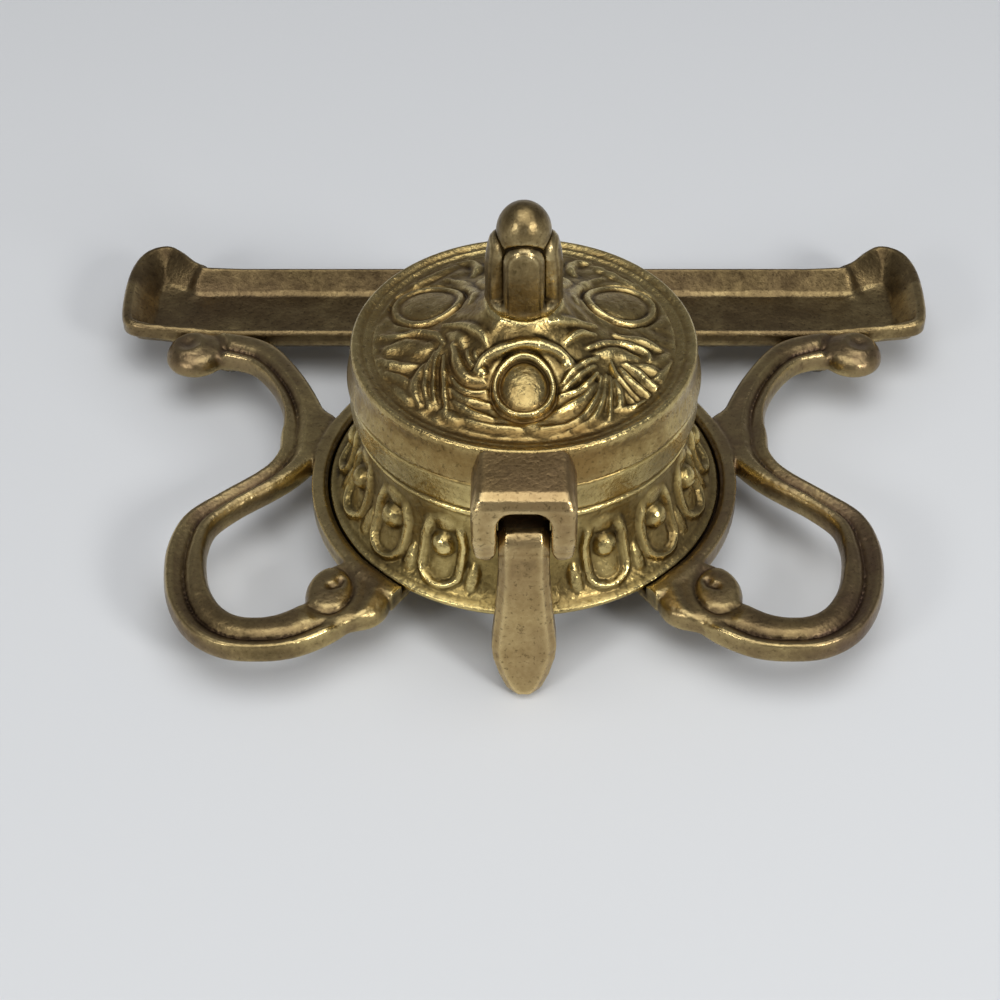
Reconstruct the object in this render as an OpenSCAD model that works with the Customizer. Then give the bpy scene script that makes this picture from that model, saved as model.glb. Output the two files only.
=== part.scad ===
// Desk inkstand: a domed, hinged inkwell standing in a scrolled brass frame with a pen tray.
// Millimetres, +Z up. The table is z = 0, the tray lies along X on the +Y side, the hinge is on -Y.

/* [Stand frame] */
// Height of the frame's top face above the table
deck_z = 12; // [10:0.5:16]
// Thickness of the scrolled frame casting
frame_t = 3.6; // [3:0.1:5]
// Width of the ring's band round the well
band_w = 3.1; // [2.4:0.1:4.6]
// Thickness of the ledge inside the ring that the well stands on
ledge_t = 1.8; // [1.2:0.1:2.6]
// Width of the ledge that the well's foot stands on
ledge_w = 11.3; // [9.6:0.1:12]
// Height of the raised edge mouldings above the frame's face
ridge_h = 0.8; // [0.3:0.1:1.4]
// Width of each raised edge moulding
ridge_w = 2.2; // [1:0.1:3]
// Width of the scroll strap where it loops
strap_w = 8; // [6.5:0.1:9]
// Distance from the ring to the middle of the loop's outer strand
loop_out = 21.6; // [19:0.2:27]
// Distance behind the ring to the middle of the loop's rear strand
loop_back = 1.2; // [0:0.1:3]
// Radius of the volute that ends the loop beside the well
eye_r = 8.4; // [7:0.1:9]
// Distance from the ring to the middle of the loop's volute
eye_out = 3.9; // [3.2:0.1:5]
// Angle of the loop's volute behind the X axis
eye_angle = 43; // [41:0.5:45]
// Radius of the volute that ends the arm at the tray
hook_r = 6.1; // [5.4:0.1:7]
// Distance from the ring to the middle of the tray volute, along X
hook_out = 27; // [25:0.2:30]
// Depth that the tray volute laps into the tray's front wall
hook_lap = 1.5; // [0.8:0.1:2]

/* [Pen tray] */
// Overall length of the tray
tray_len = 169; // [160:1:180]
// Gap between the ring and the tray's front wall
tray_gap = 3.2; // [2.6:0.1:5]
// Width of the tray between its flared ends
tray_w = 23.2; // [20:0.2:28]
// Depth that the rear lobes of the ends stand behind the back wall
lobe_out = 6.8; // [3:0.2:9]
// Depth that the front corners of the ends stand behind the front wall
corner_back = 1; // [0:0.1:2]
// Wall of the tray at its rim
tray_wall = 1.8; // [1.4:0.1:2]
// Width of the curved cove between wall and floor
tray_cove = 1.4; // [0.8:0.1:1.6]
// Depth of the tray inside
tray_depth = 3.8; // [3:0.1:4.4]
// Thickness of the tray floor
tray_floor = 1.6; // [1.2:0.1:2.5]
// Rise of the end lips above the middle of the walls
lip_rise = 1.4; // [0.4:0.1:2.4]
// Length over which each end flares
flare_run = 22; // [18:0.5:28]

/* [Well] */
// Radius of the well's neck under the collar
neck_r = 30.2; // [28:0.1:33]
// Spread of the foot flange beyond the neck
bell_out = 6.7; // [5.6:0.1:8]
// Height of the joint between well and lid above the frame's top face
seam_up = 25.2; // [22:0.2:30]
// Wall of the hollow well
well_wall = 2.8; // [2.4:0.1:3.2]
// Spread of the collar under the lid beyond the neck
collar_out = 1.2; // [0.9:0.1:1.8]
// Height of the collar under the lid
collar_h = 7.2; // [5:0.1:9]
// Distance from the neck's outside to the hole that the ink pot hangs in
bore_in = 6.2; // [5.4:0.1:8]
// Width of the shelf that the pot's rim hangs on
rim_seat_w = 3.4; // [2.6:0.1:4]
// Depth of the rim seat below the joint
rim_seat_d = 3.4; // [2.8:0.1:4.4]
// Thickness of the shelf that the pot's rim hangs on
shelf_t = 2.2; // [1.6:0.1:2.6]
// Radius of the egg-shaped bosses round the well
egg_r = 2.6; // [1.5:0.1:3.2]
// Angle from the hinge to the first boss
egg_start = 25.5; // [24:0.5:30]
// Number of bosses round the well
egg_count = 16; // [10:2:18]

/* [Lid] */
// Spread of the lid's rim beyond the well's neck
lid_out = 0.8; // [0.4:0.1:1.4]
// Flare of the lid's side from rim to joint
lid_flare = 1.6; // [0.6:0.1:2]
// Height of the lid's side
lid_side_h = 7.6; // [6:0.1:9]
// Width of the flat border round the dome
border_w = 4.4; // [3:0.1:6]
// Height of the dome over its border
dome_h = 9; // [7:0.2:12]
// Distance from the lid's axis to the middle of each medallion
medallion_at = 17.3; // [16:0.1:19]
// Radius of each medallion
medallion_r = 5.9; // [5:0.1:6.4]
// Height of each medallion's disc above the dome
medallion_rise = 1; // [0.6:0.1:1.4]
// Radius of the domed button on each medallion
button_r = 4.2; // [3.4:0.1:4.6]
// Height of the button above its medallion's disc
button_rise = 0.7; // [0.4:0.05:1.2]
// Wall of the lid
lid_wall = 2; // [1.6:0.1:2.6]
// Radius of the hole for the finial's stud
stud_hole_r = 2.05; // [1.8:0.05:2.5]

/* [Finial] */
// Height of the finial above its seat
finial_h = 20; // [14:0.2:26]
// Radius of the bud
bud_r = 4.9; // [4:0.1:5.6]
// Radius of the finial's foot
finial_foot_r = 6.6; // [5.6:0.1:7.6]
// Height of the sepals round the bud
sepal_h = 13.4; // [10:0.2:15]
// Half the width of a sepal
sepal_half_w = 3.6; // [2.6:0.1:4.2]
// Radius of the stud under the finial
stud_r = 2; // [1.6:0.05:2.2]

/* [Hinge and leg] */
// Distance of the hinge pin outside the well's foot flange
hinge_out = 1.3; // [0.7:0.1:3]
// Depth of the hinge pin below the joint
hinge_drop = 5.7; // [5:0.1:7]
// Radius of the hinge pin
pin_r = 1.5; // [1.2:0.05:1.8]
// Radius of the leg's knuckle
knuckle_r = 4.4; // [3.6:0.1:4.6]
// Width of the knuckle and of the leg's top
knuckle_w = 8.8; // [7:0.1:9.4]
// Gap between the knuckle and each ear of the fork
fork_gap = 0.35; // [0.2:0.05:0.6]
// Thickness of each ear of the fork
ear_w = 4.2; // [3:0.1:5]
// Greatest width of the leg
leg_w = 11.4; // [9:0.1:13]
// Thickness of the leg from front to back
leg_t = 4.6; // [3.6:0.1:5.4]
// Distance that the leg's foot stands outside the hinge pin
leg_lean = 8.4; // [7.6:0.1:11]

/* [Ink pot] */
// Gap round the pot in its well
pot_gap = 0.4; // [0.2:0.1:1]
// Wall of the glass pot
pot_wall = 2.2; // [1.6:0.1:3]
// Depth of the pot outside
pot_depth = 23; // [16:0.5:23]
// Thickness of the pot's rim
pot_rim_t = 2.6; // [1.8:0.1:3]

/* [Feet and screws] */
// Radius of each front foot at the table
foot_r = 4; // [3:0.1:4.4]
// Distance from the tray's end to the middle of its foot
foot_in = 16; // [14:0.2:22]
// Distance from the tray's front wall to the middle of its feet
foot_back = 15.4; // [12:0.2:15.4]
// Height of the bosses under the tray that the feet are screwed to
foot_boss_h = 1.6; // [1.2:0.1:2]
// Radius of the screws' shanks
screw_r = 1; // [0.8:0.05:1.3]
// Radius of the screws' heads
head_r = 1.9; // [1.6:0.1:2.2]
// Thickness of the screws' heads
head_t = 1; // [0.7:0.1:1.3]

/* [Hidden] */
$fn = 72;

brass = "#8a7440";
dark_brass = "#6f5d36";
// Clearance round a screw or pin that is held fast
snug = 0.03;
// Radial clearance of the hinge pin in the knuckle
running = 0.06;
// Overlap that makes sure a cut goes through a face
eps = 0.01;
// Gap between the well's foot and the ring round it
ring_clear = 0.4;

// Radii from the well axis, each from the one inside it
flange_r = neck_r + bell_out;
ring_r = flange_r + ring_clear + band_w;
ledge_hole_r = flange_r - ledge_w;
collar_r = neck_r + collar_out;
lid_r = neck_r + lid_out;
well_bore_r = neck_r - bore_in;
rim_seat_r = well_bore_r + rim_seat_w;
hinge_y = flange_r + hinge_out;
leg_reach = hinge_y + leg_lean;

// Places of the scroll's loops and volutes
loop_x = ring_r + loop_out;
loop_y = ring_r + loop_back;
eye_x = (ring_r + eye_out) * cos(eye_angle);
eye_y = (ring_r + eye_out) * sin(eye_angle);
hook_x = ring_r + hook_out;
tray_front = ring_r + tray_gap;

// The part's origin is the middle of its footprint; the well axis stands behind it.
tray_back = tray_front + tray_w;
tray_reach = tray_back + lobe_out;
well_y = (leg_reach - tray_reach) / 2;

frame_z = deck_z - frame_t;
ledge_z = frame_z + ledge_t;
seam_z = deck_z + seam_up;
rim_z = seam_z + lid_side_h;
apex_z = rim_z + dome_h;
crown_under_z = apex_z - lid_wall - 0.6;
medallion_angles = [-90, 24, 156];
hinge_z = seam_z - hinge_drop;
half_fork = knuckle_w / 2 + fork_gap + ear_w;
hook_y = tray_front - hook_r + hook_lap;
half_len = tray_len / 2;
foot_x = half_len - foot_in;
foot_y = tray_front + foot_back;

// ---- curves ----

// Point on the smooth curve through a, b, c, d, between b and c
function between(a, b, c, d, t) =
    0.5 * ((2 * b) + (c - a) * t + (2 * a - 5 * b + 4 * c - d) * t * t
    + (3 * b - a - 3 * c + d) * t * t * t);

// Smooth open curve through the points, n steps a span
function smooth(pts, n) = let(last = len(pts) - 1) [
    for (i = [0 : last - 1], k = [0 : n - 1])
        between(pts[max(i - 1, 0)], pts[i], pts[i + 1], pts[min(i + 2, last)], k / n),
    pts[last]
];

// Unit normal, to the left of the way along the line
function left_of(line, i) = let(
    a = line[max(i - 1, 0)],
    b = line[min(i + 1, len(line) - 1)],
    d = [b[0] - a[0], b[1] - a[1]]
) [-d[1], d[0]] / norm(d);

// Edge of a strap given as [x, y, width] stations, offset inwards from its left (+1) or right (-1)
function strap_edge(line, side, inset = 0) = [
    for (i = [0 : len(line) - 1])
        [line[i][0], line[i][1]] + side * (line[i][2] / 2 - inset) * left_of(line, i)
];

function backwards(list) = [for (i = [len(list) - 1 : -1 : 0]) list[i]];

// Closed outline moved inwards by d, when it runs anticlockwise
function shrunk(outline, d) = let(n = len(outline)) [
    for (i = [0 : n - 1])
        let(a = outline[(i + n - 1) % n], b = outline[(i + 1) % n], v = b - a)
            outline[i] + d * [-v[1], v[0]] / norm(v)
];

// Quarter of an ellipse from [x0, z0] (upright there) to [x1, z1] (level there)
function cavetto(x0, z0, x1, z1, n = 12) = [
    for (k = [0 : n])
        let(a = 90 * k / n) [x1 + (x0 - x1) * cos(a), z0 + (z1 - z0) * sin(a)]
];

// ---- shapes shared by several pieces ----

// Centre line of the right-hand scroll, from the tray volute past the ring to the loop's volute
arm_stations = [
    [hook_x - 1, hook_y + 2.2, strap_w - 1],
    [hook_x - 6, hook_y + 0.9, strap_w + 0.2],
    [hook_x - 10.6, hook_y - 0.4, strap_w + 0.2],
    [hook_x - 13.9, hook_y - 2.2, strap_w - 0.2],
    [hook_x - 17, hook_y - 5.7, strap_w - 0.8],
    [ring_r + 6.5, hook_y - 11.4, strap_w - 0.9],
    [ring_r + 3.9, ring_r * 0.53, strap_w - 0.3],
    [ring_r + 2.6, ring_r * 0.39, strap_w + 1],
    [ring_r + 2.6, ring_r * 0.3, strap_w + 1.4],
    [ring_r + 3.1, ring_r * 0.173, strap_w + 0.4],
    [ring_r + 5.4, ring_r * 0.054, strap_w - 1],
    [ring_r + 8.8, -ring_r * 0.042, strap_w - 1.7],
    [loop_x - 6.5, -ring_r * 0.178, strap_w - 2],
    [loop_x - 1.6, -ring_r * 0.31, strap_w - 1.2],
    [loop_x, -ring_r * 0.458, strap_w - 0.6],
    [loop_x - 0.2, -loop_y + 17, strap_w - 0.3],
    [loop_x - 1.8, -loop_y + 10, strap_w + 0.1],
    [loop_x - 5.2, -loop_y + 4, strap_w + 0.4],
    [loop_x - 9.8, -loop_y + 0.7, strap_w + 0.4],
    [eye_x + 14.4, -loop_y, strap_w + 0.4],
    [eye_x + 9.2, -loop_y + 1, strap_w + 1],
    [eye_x + 4.2, -eye_y - 7.4, strap_w + 1.4],
    [eye_x + 0.6, -eye_y - 4, strap_w + 1]
];
arm_line = smooth(arm_stations, 5);

module arm_outline() {
    polygon(concat(strap_edge(arm_line, 1), backwards(strap_edge(arm_line, -1))));
    translate([eye_x, -eye_y])
        circle(r = eye_r);
    translate([hook_x, hook_y])
        circle(r = hook_r);
    // Web in the corner between strap and ring
    translate([ring_r * 0.98, ring_r * 0.4])
        circle(r = 3);
}

// Raised moulding along one edge of the strap, left out where the volutes cover it
module arm_moulding(side) {
    run = [for (i = [8 : len(arm_line) - 8]) arm_line[i]];
    polygon(concat(strap_edge(run, side, 0.3), backwards(strap_edge(run, side, 0.3 + ridge_w))));
}

module mirrored_pair() {
    children();
    mirror([1, 0, 0])
        children();
}

module at_well() {
    translate([0, well_y, 0])
        children();
}

// Places for the screws, as seen from the well axis
well_screw_angles = [30, 150, 215, 325];
foot_wall_r = flange_r - 5.5;
foot_edge_r = flange_r - 2.6;
// Ledge radius where the band is open to the leg
ledge_open_r = foot_edge_r - 0.9;
well_screw_r = (foot_wall_r + foot_edge_r) / 2;
tray_screw_step = 5;
tray_screw_out = hook_x - hook_r - 0.7;
tray_screw_x = [tray_screw_out - tray_screw_step, tray_screw_out];
tray_tab_y = tray_front - head_r - 1.6;
leg_screw_z = [deck_z + 5, deck_z + 11];
tray_under_z = deck_z - tray_depth - tray_floor;
foot_top = tray_under_z - foot_boss_h;
screw_grip = 2.4;
well_grip = 1.8;

module screw(grip) {
    cylinder(r = screw_r, h = grip + head_t);
    cylinder(r = head_r, h = head_t);
}

module screw_hole(grip) {
    translate([0, 0, -eps])
        cylinder(r = screw_r + snug, h = grip + head_t + snug + eps);
}

// ---- stand ----

module ring_band(inner_r, z0, z1, open_half) {
    rotate([0, 0, -90 + open_half])
        rotate_extrude(angle = 360 - 2 * open_half)
            translate([inner_r, z0])
                square([ring_r - inner_r, z1 - z0]);
}

module stand_frame() {
    band_in = ring_r - band_w;
    open_half = 36;
    color(brass)
    at_well()
    difference() {
        union() {
            difference() {
                union() {
                    mirrored_pair()
                        translate([0, 0, frame_z])
                            linear_extrude(frame_t)
                                arm_outline();
                    ring_band(band_in - 1, frame_z, deck_z + 0.3, open_half);
                }
                translate([0, 0, ledge_z])
                    cylinder(r = band_in, h = frame_t);
                translate([0, 0, frame_z - eps])
                    cylinder(r = band_in - 0.6, h = frame_t);
            }
            translate([0, 0, frame_z])
                cylinder(r = band_in - 0.5, h = ledge_t);
            mirrored_pair() {
                translate([0, 0, deck_z - eps])
                    linear_extrude(ridge_h + eps)
                        difference() {
                            union() {
                                arm_moulding(1);
                                arm_moulding(-1);
                            }
                            circle(r = ring_r - 0.6);
                            translate([eye_x, -eye_y])
                                circle(r = eye_r);
                        }
                volute_button(eye_x - 1.6, -eye_y - 0.4, eye_r);
                volute_button(hook_x + 0.6, hook_y - 0.6, hook_r);
            }
        }
        translate([0, 0, frame_z - eps])
            cylinder(r = ledge_hole_r, h = ledge_t + 2 * eps);
        rotate([0, 0, 1 - open_half - 90])
            rotate_extrude(angle = 2 * open_half - 2)
                translate([ledge_open_r, frame_z - eps])
                    square([band_in - ledge_open_r, ledge_t + 2 * eps]);
        for (a = well_screw_angles)
            rotate([0, 0, a])
                translate([well_screw_r, 0, frame_z - head_t])
                    screw_hole(ledge_t + well_grip);
        mirrored_pair()
            for (x = tray_screw_x)
                translate([x, tray_tab_y, frame_z - tray_floor - head_t])
                    screw_hole(tray_floor + screw_grip);
    }
}

// Rolled end of a scroll: a raised edge with a round eye inside it
module volute_button(x, y, r) {
    translate([x, y, deck_z - eps]) {
        cylinder(r = r * 0.42, h = ridge_h + eps);
        translate([0, 0, ridge_h])
            scale(0.55)
                difference() {
                    sphere(r = r * 0.6);
                    translate([0, 0, -r])
                        cube(2 * r, center = true);
                }
    }
}

// Right half of the tray's outline, from the middle of the front wall round to the back wall
tray_stations = [
    [hook_x - 8, tray_front],
    [hook_x - 1, tray_front + corner_back * 0.2],
    [half_len - flare_run * 0.5, tray_front + corner_back * 0.6],
    [half_len - flare_run * 0.25, tray_front + corner_back],
    [half_len - 2, tray_front + corner_back + 1.4],
    [half_len - 0.5, tray_front + corner_back + 5],
    [half_len, (tray_front + tray_reach) / 2],
    [half_len - 0.5, tray_reach - lobe_out - 1.2],
    [half_len - flare_run * 0.1, tray_reach - lobe_out * 0.44],
    [half_len - flare_run * 0.227, tray_reach - lobe_out * 0.06],
    [half_len - flare_run * 0.364, tray_reach],
    [half_len - flare_run * 0.5, tray_reach - lobe_out * 0.32],
    [half_len - flare_run * 0.636, tray_back + lobe_out * 0.235],
    [half_len - flare_run * 0.795, tray_back + lobe_out * 0.03],
    [half_len - flare_run, tray_back]
];
tray_half = smooth(tray_stations, 4);
tray_outline = concat(tray_half, backwards([for (p = tray_half) [-p[0], p[1]]]));

module tray_slab(inset, z0, z1) {
    translate([0, 0, z0])
        linear_extrude(z1 - z0)
            polygon(shrunk(tray_outline, inset));
}

// Everything over the rim: level in the middle, sloping up to both ends
module over_rim() {
    rise_run = flare_run + 2;
    level = half_len - rise_run;
    slope = atan(lip_rise / rise_run);
    reach = tray_reach + 10;
    translate([-level - 1, 0, deck_z])
        cube([2 * level + 2, reach, lip_rise + 5]);
    mirrored_pair()
        translate([level, 0, deck_z])
            rotate([0, -slope, 0])
                cube([half_len, reach, lip_rise + 5]);
}

module pen_tray() {
    floor_z = deck_z - tray_depth;
    step_z = deck_z - tray_depth * 0.45;
    color(dark_brass)
    at_well()
    difference() {
        union() {
            difference() {
                union() {
                    tray_slab(0, floor_z + 0.2, deck_z + lip_rise);
                    tray_slab(tray_wall + 0.6, floor_z - tray_floor, floor_z + 0.4);
                }
                over_rim();
                tray_slab(tray_wall, step_z, deck_z + lip_rise + 1);
                tray_slab(tray_wall + tray_cove, floor_z, step_z + 0.1);
                mirrored_pair()
                    translate([0, 0, floor_z - tray_floor - eps])
                        linear_extrude(tray_depth + tray_floor + lip_rise + 1)
                            arm_outline();
            }
            mirrored_pair() {
                tray_tab();
                translate([foot_x, foot_y, foot_top])
                    cylinder(r = foot_r + 0.6, h = foot_boss_h + 0.1);
            }
        }
        mirrored_pair() {
            for (x = tray_screw_x)
                translate([x, tray_tab_y, frame_z - tray_floor - head_t])
                    screw_hole(tray_floor + screw_grip);
            translate([foot_x, foot_y, foot_top - screw_grip - head_t])
                screw_hole(2 * screw_grip);
        }
    }
}

// Tongue under the arm that the tray is screwed to
module tray_tab() {
    edge = head_r + 0.7;
    x0 = tray_screw_x[0] - edge;
    y0 = tray_tab_y - edge;
    translate([x0, y0, frame_z - tray_floor])
        cube([tray_screw_x[1] - x0 + edge, tray_front + tray_wall + tray_cove + 1 - y0, tray_floor]);
}

// ---- well ----

module well_body() {
    flange_top = deck_z + 0.6;
    collar_z = seam_z - collar_h;
    bell = cavetto(neck_r, collar_z - 1.6, flange_r - 0.3, flange_top);
    inner_r = neck_r - well_wall;
    hollow = cavetto(inner_r, collar_z - 4, foot_wall_r, ledge_z);
    seat_z = seam_z - rim_seat_d;
    color(brass)
    at_well()
    difference() {
        union() {
            rotate_extrude()
                polygon(concat(
                    [[foot_edge_r, ledge_z], [flange_r, deck_z - 0.6], [flange_r, flange_top - 0.3]],
                    backwards(bell),
                    [
                        [neck_r + 0.9, collar_z - 1.2],
                        [neck_r + 0.9, collar_z - 0.2],
                        [collar_r - 0.6, collar_z],
                        [collar_r, seam_z],
                        [rim_seat_r, seam_z],
                        [rim_seat_r, seat_z],
                        [well_bore_r, seat_z],
                        [well_bore_r, seat_z - shelf_t],
                        [inner_r, seat_z - shelf_t]
                    ],
                    hollow
                ));
            for (i = [0 : egg_count - 1])
                rotate([0, 0, -90 + egg_start + i * (360 - 2 * egg_start) / (egg_count - 1)])
                    egg();
            leg_pad();
        }
        for (a = well_screw_angles)
            rotate([0, 0, a])
                translate([well_screw_r, 0, frame_z - head_t])
                    screw_hole(ledge_t + well_grip);
        for (z = leg_screw_z)
            leg_screw_at(z) {
                screw_hole(hinge_y);
                translate([0, 0, -hinge_y])
                    cylinder(r = head_r + 0.3, h = hinge_y + head_t);
            }
    }
}

// Boss on the flank of the well: a ball over a drop
module egg() {
    ball_z = deck_z + seam_up * 0.42;
    translate([neck_r + 0.9, 0, ball_z])
        sphere(r = egg_r, $fn = 24);
    translate([neck_r + 2.2, 0, ball_z - 2 * egg_r])
        sphere(r = egg_r * 0.92, $fn = 24);
}

// Flat seat on the hinge side that carries the leg
pad_face_y = hinge_y - 0.2;
pad_w = 7;
module leg_pad() {
    top = deck_z + 14;
    translate([-pad_w / 2, -pad_face_y, ledge_z])
        cube([pad_w, pad_face_y - neck_r + 2, top - ledge_z]);
}

// Screws run from inside the well, through the pad, into the leg
leg_screw_head_y = neck_r - well_wall;
module leg_screw_at(z) {
    translate([0, -leg_screw_head_y, z])
        rotate([90, 0, 0])
            children();
}

module ink_pot() {
    r = well_bore_r - pot_gap;
    rim_r = rim_seat_r - pot_gap;
    seat_z = seam_z - rim_seat_d;
    top = seat_z + pot_rim_t;
    bottom = top - pot_depth;
    color("#cfd8d2", 0.5)
    at_well()
        rotate_extrude()
            polygon([
                [0, bottom], [r - 1.5, bottom], [r, bottom + 1.5], [r, seat_z],
                [rim_r, seat_z], [rim_r, top], [r - pot_wall + 0.8, top],
                [r - pot_wall, top - 0.8], [r - pot_wall, bottom + pot_wall + 3],
                [r - pot_wall - 3, bottom + pot_wall], [0, bottom + pot_wall]
            ]);
}

// ---- hinge and leg ----

// Side view of the leg in Y and Z: a knuckle on a bar that leans out to its foot
module leg_side() {
    inner = -hinge_y + 0.2;
    crease_z = deck_z - 3;
    translate([-hinge_y, hinge_z])
        circle(r = knuckle_r);
    polygon([
        [-hinge_y - knuckle_r, hinge_z],
        [-leg_reach + 2, crease_z],
        [-leg_reach, 1.2],
        [-leg_reach + 0.6, 0],
        [-leg_reach + leg_t - 1, 0],
        [-leg_reach + leg_t, 2],
        [inner, crease_z],
        [inner, hinge_z - 3],
        [-hinge_y + knuckle_r, hinge_z]
    ]);
}

// Front view of the leg in X and Z: widening downwards, then closing to a rounded foot
module leg_front() {
    top = knuckle_w / 2;
    half = leg_w / 2;
    crease_z = deck_z - 3.6;
    polygon([
        [-top, hinge_z + knuckle_r], [-top, hinge_z - 5], [-half, crease_z],
        [-half + 0.7, 4], [-half + 2.3, 1.5], [-half + 4, 0],
        [half - 4, 0], [half - 2.3, 1.5], [half - 0.7, 4],
        [half, crease_z], [top, hinge_z - 5], [top, hinge_z + knuckle_r]
    ]);
}

module rear_leg() {
    color(brass)
    at_well()
    difference() {
        intersection() {
            rotate([90, 0, 90])
                translate([0, 0, -leg_w])
                    linear_extrude(2 * leg_w)
                        leg_side();
            rotate([90, 0, 0])
                translate([0, 0, hinge_y - 2 * knuckle_r])
                    linear_extrude(leg_reach)
                        leg_front();
        }
        along_hinge(leg_w)
            cylinder(r = pin_r + running, h = leg_w);
        for (z = leg_screw_z)
            leg_screw_at(z)
                screw_hole(pad_face_y - leg_screw_head_y + screw_grip);
    }
}

module along_hinge(width) {
    translate([-width / 2, -hinge_y, hinge_z])
        rotate([0, 90, 0])
            children();
}

module hinge_pin() {
    length = 2 * half_fork - 0.6;
    color("#9c8650")
    at_well()
        along_hinge(length)
            cylinder(r = pin_r, h = length);
}

// ---- lid ----

// Ogee of the dome from its foot to the flat crown, as shares of its radius and height
dome_r = lid_r - border_w;
dome_ogee = smooth([
    [1, 0], [0.865, 0.033], [0.752, 0.111], [0.65, 0.2], [0.545, 0.322],
    [0.451, 0.467], [0.338, 0.689], [0.278, 0.867], [0.241, 1]
], 2);

// Top of the dome as [radius, height] points, lowered by drop but no higher than top
function dome_profile(drop, top) = [
    for (p = dome_ogee) [dome_r * p[0], min(rim_z + dome_h * p[1] - drop, top)]
];

function dome_height(r) = rim_z + dome_h * lookup(r / dome_r, dome_ogee);

// Round medallion lying on the dome's slope: a disc with a domed button
module medallion(angle) {
    reach = medallion_at + medallion_r / 2;
    slope = atan((dome_height(2 * medallion_at - reach) - dome_height(reach)) / medallion_r);
    cap_r = (button_r * button_r + button_rise * button_rise) / (2 * button_rise);
    rotate([0, 0, angle])
        translate([medallion_at, 0, dome_height(medallion_at)])
            rotate([0, slope, 0]) {
                translate([0, 0, -lid_wall / 2])
                    cylinder(r = medallion_r, h = lid_wall / 2 + medallion_rise);
                translate([0, 0, medallion_rise - eps])
                    intersection() {
                        cylinder(r = button_r + 1, h = button_rise + 1);
                        translate([0, 0, button_rise - cap_r])
                            sphere(r = cap_r);
                    }
            }
}

module fork_side() {
    top_z = rim_z - 0.6;
    polygon([
        [-lid_r + 1, top_z + 0.2],
        [-hinge_y, top_z - 0.7],
        [-hinge_y - 2.2, top_z - 2],
        [-hinge_y - 3, top_z - 4],
        [-hinge_y - 3.6, hinge_z],
        [-hinge_y + 3.6, hinge_z],
        [-hinge_y + 4.2, seam_z + 1.2],
        [-lid_r + 1, seam_z + 2]
    ]);
    translate([-hinge_y, hinge_z])
        circle(r = 3.6);
}

module fork_front() {
    root = half_fork - 1.6;
    polygon([
        [-root, rim_z + 1], [-half_fork, rim_z - 4], [-half_fork, hinge_z + 2],
        [-half_fork + 0.6, hinge_z - 2.6], [-half_fork + 1.4, hinge_z - 4],
        [half_fork - 1.4, hinge_z - 4], [half_fork - 0.6, hinge_z - 2.6],
        [half_fork, hinge_z + 2], [half_fork, rim_z - 4], [root, rim_z + 1]
    ]);
}

module fork() {
    slot_w = knuckle_w + 2 * fork_gap;
    bridge_z = rim_z - 5;
    difference() {
        intersection() {
            rotate([90, 0, 90])
                translate([0, 0, -half_fork])
                    linear_extrude(2 * half_fork)
                        fork_side();
            rotate([90, 0, 0])
                translate([0, 0, lid_r - 2])
                    linear_extrude(leg_reach)
                        fork_front();
        }
        translate([-slot_w / 2, -hinge_y - 10, hinge_z - 10])
            cube([slot_w, 10 + hinge_y - lid_r - lid_flare + 0.4, bridge_z - hinge_z + 10]);
    }
}

module lid() {
    seat_r = lid_r + lid_flare;
    hollow_r = lid_r - lid_wall;
    color(brass)
    at_well()
    difference() {
        union() {
            rotate_extrude()
                polygon(concat(
                    [
                        [seat_r - 0.4, seam_z], [seat_r, seam_z + 0.5],
                        [lid_r + 0.1, rim_z - 0.8], [lid_r - 0.7, rim_z],
                        [lid_r - 3.2, rim_z], [dome_r + 0.6, rim_z - 0.5]
                    ],
                    dome_profile(0, apex_z),
                    [[0, apex_z], [0, crown_under_z]],
                    backwards(dome_profile(lid_wall, crown_under_z)),
                    [
                        [dome_r - 0.4, rim_z - lid_wall - 0.4],
                        [hollow_r, rim_z - lid_wall - 0.4], [hollow_r + 0.6, seam_z]
                    ]
                ));
            for (a = medallion_angles)
                medallion(a);
            fork();
        }
        translate([0, 0, seam_z])
            cylinder(r = stud_hole_r, h = rim_z);
        along_hinge(2 * half_fork + 1)
            cylinder(r = pin_r + snug, h = 2 * half_fork + 1);
        translate([0, 0, seam_z - lid_side_h])
            cylinder(r = seat_r, h = lid_side_h);
    }
}

// ---- finial ----

module finial() {
    seat_z = apex_z;
    top_z = seat_z + finial_h;
    bud_c = top_z - bud_r * 1.15;
    stud_end = crown_under_z - nut_h - 0.8;
    color(brass)
    at_well() {
        rotate_extrude()
            polygon(concat(
                [
                    [0, stud_end], [stud_r, stud_end], [stud_r, seat_z],
                    [finial_foot_r - 0.8, seat_z], [finial_foot_r, seat_z + 0.8],
                    [finial_foot_r - 0.4, seat_z + 2], [bud_r, seat_z + 3.4],
                    [bud_r, bud_c]
                ],
                [for (a = [15 : 15 : 90]) [bud_r * cos(a), bud_c + bud_r * 1.15 * sin(a)]]
            ));
        translate([0, 0, seat_z + 1.4])
            sepals();
    }
}

// Four leaves with arched tops standing round the bud
module sepals() {
    half = sepal_half_w;
    spring = sepal_h - 1.4 - half;
    intersection() {
        difference() {
            cylinder(r = finial_foot_r + 0.2, h = sepal_h);
            translate([0, 0, 2.6])
                cylinder(r = bud_r - 0.4, h = sepal_h);
        }
        for (a = [0 : 90 : 270])
            rotate([0, 0, a])
                rotate([90, 0, 90])
                    linear_extrude(finial_foot_r + 2)
                        union() {
                            translate([-half, 0])
                                square([2 * half, spring]);
                            translate([0, spring])
                                circle(r = half);
                        }
    }
}

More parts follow.
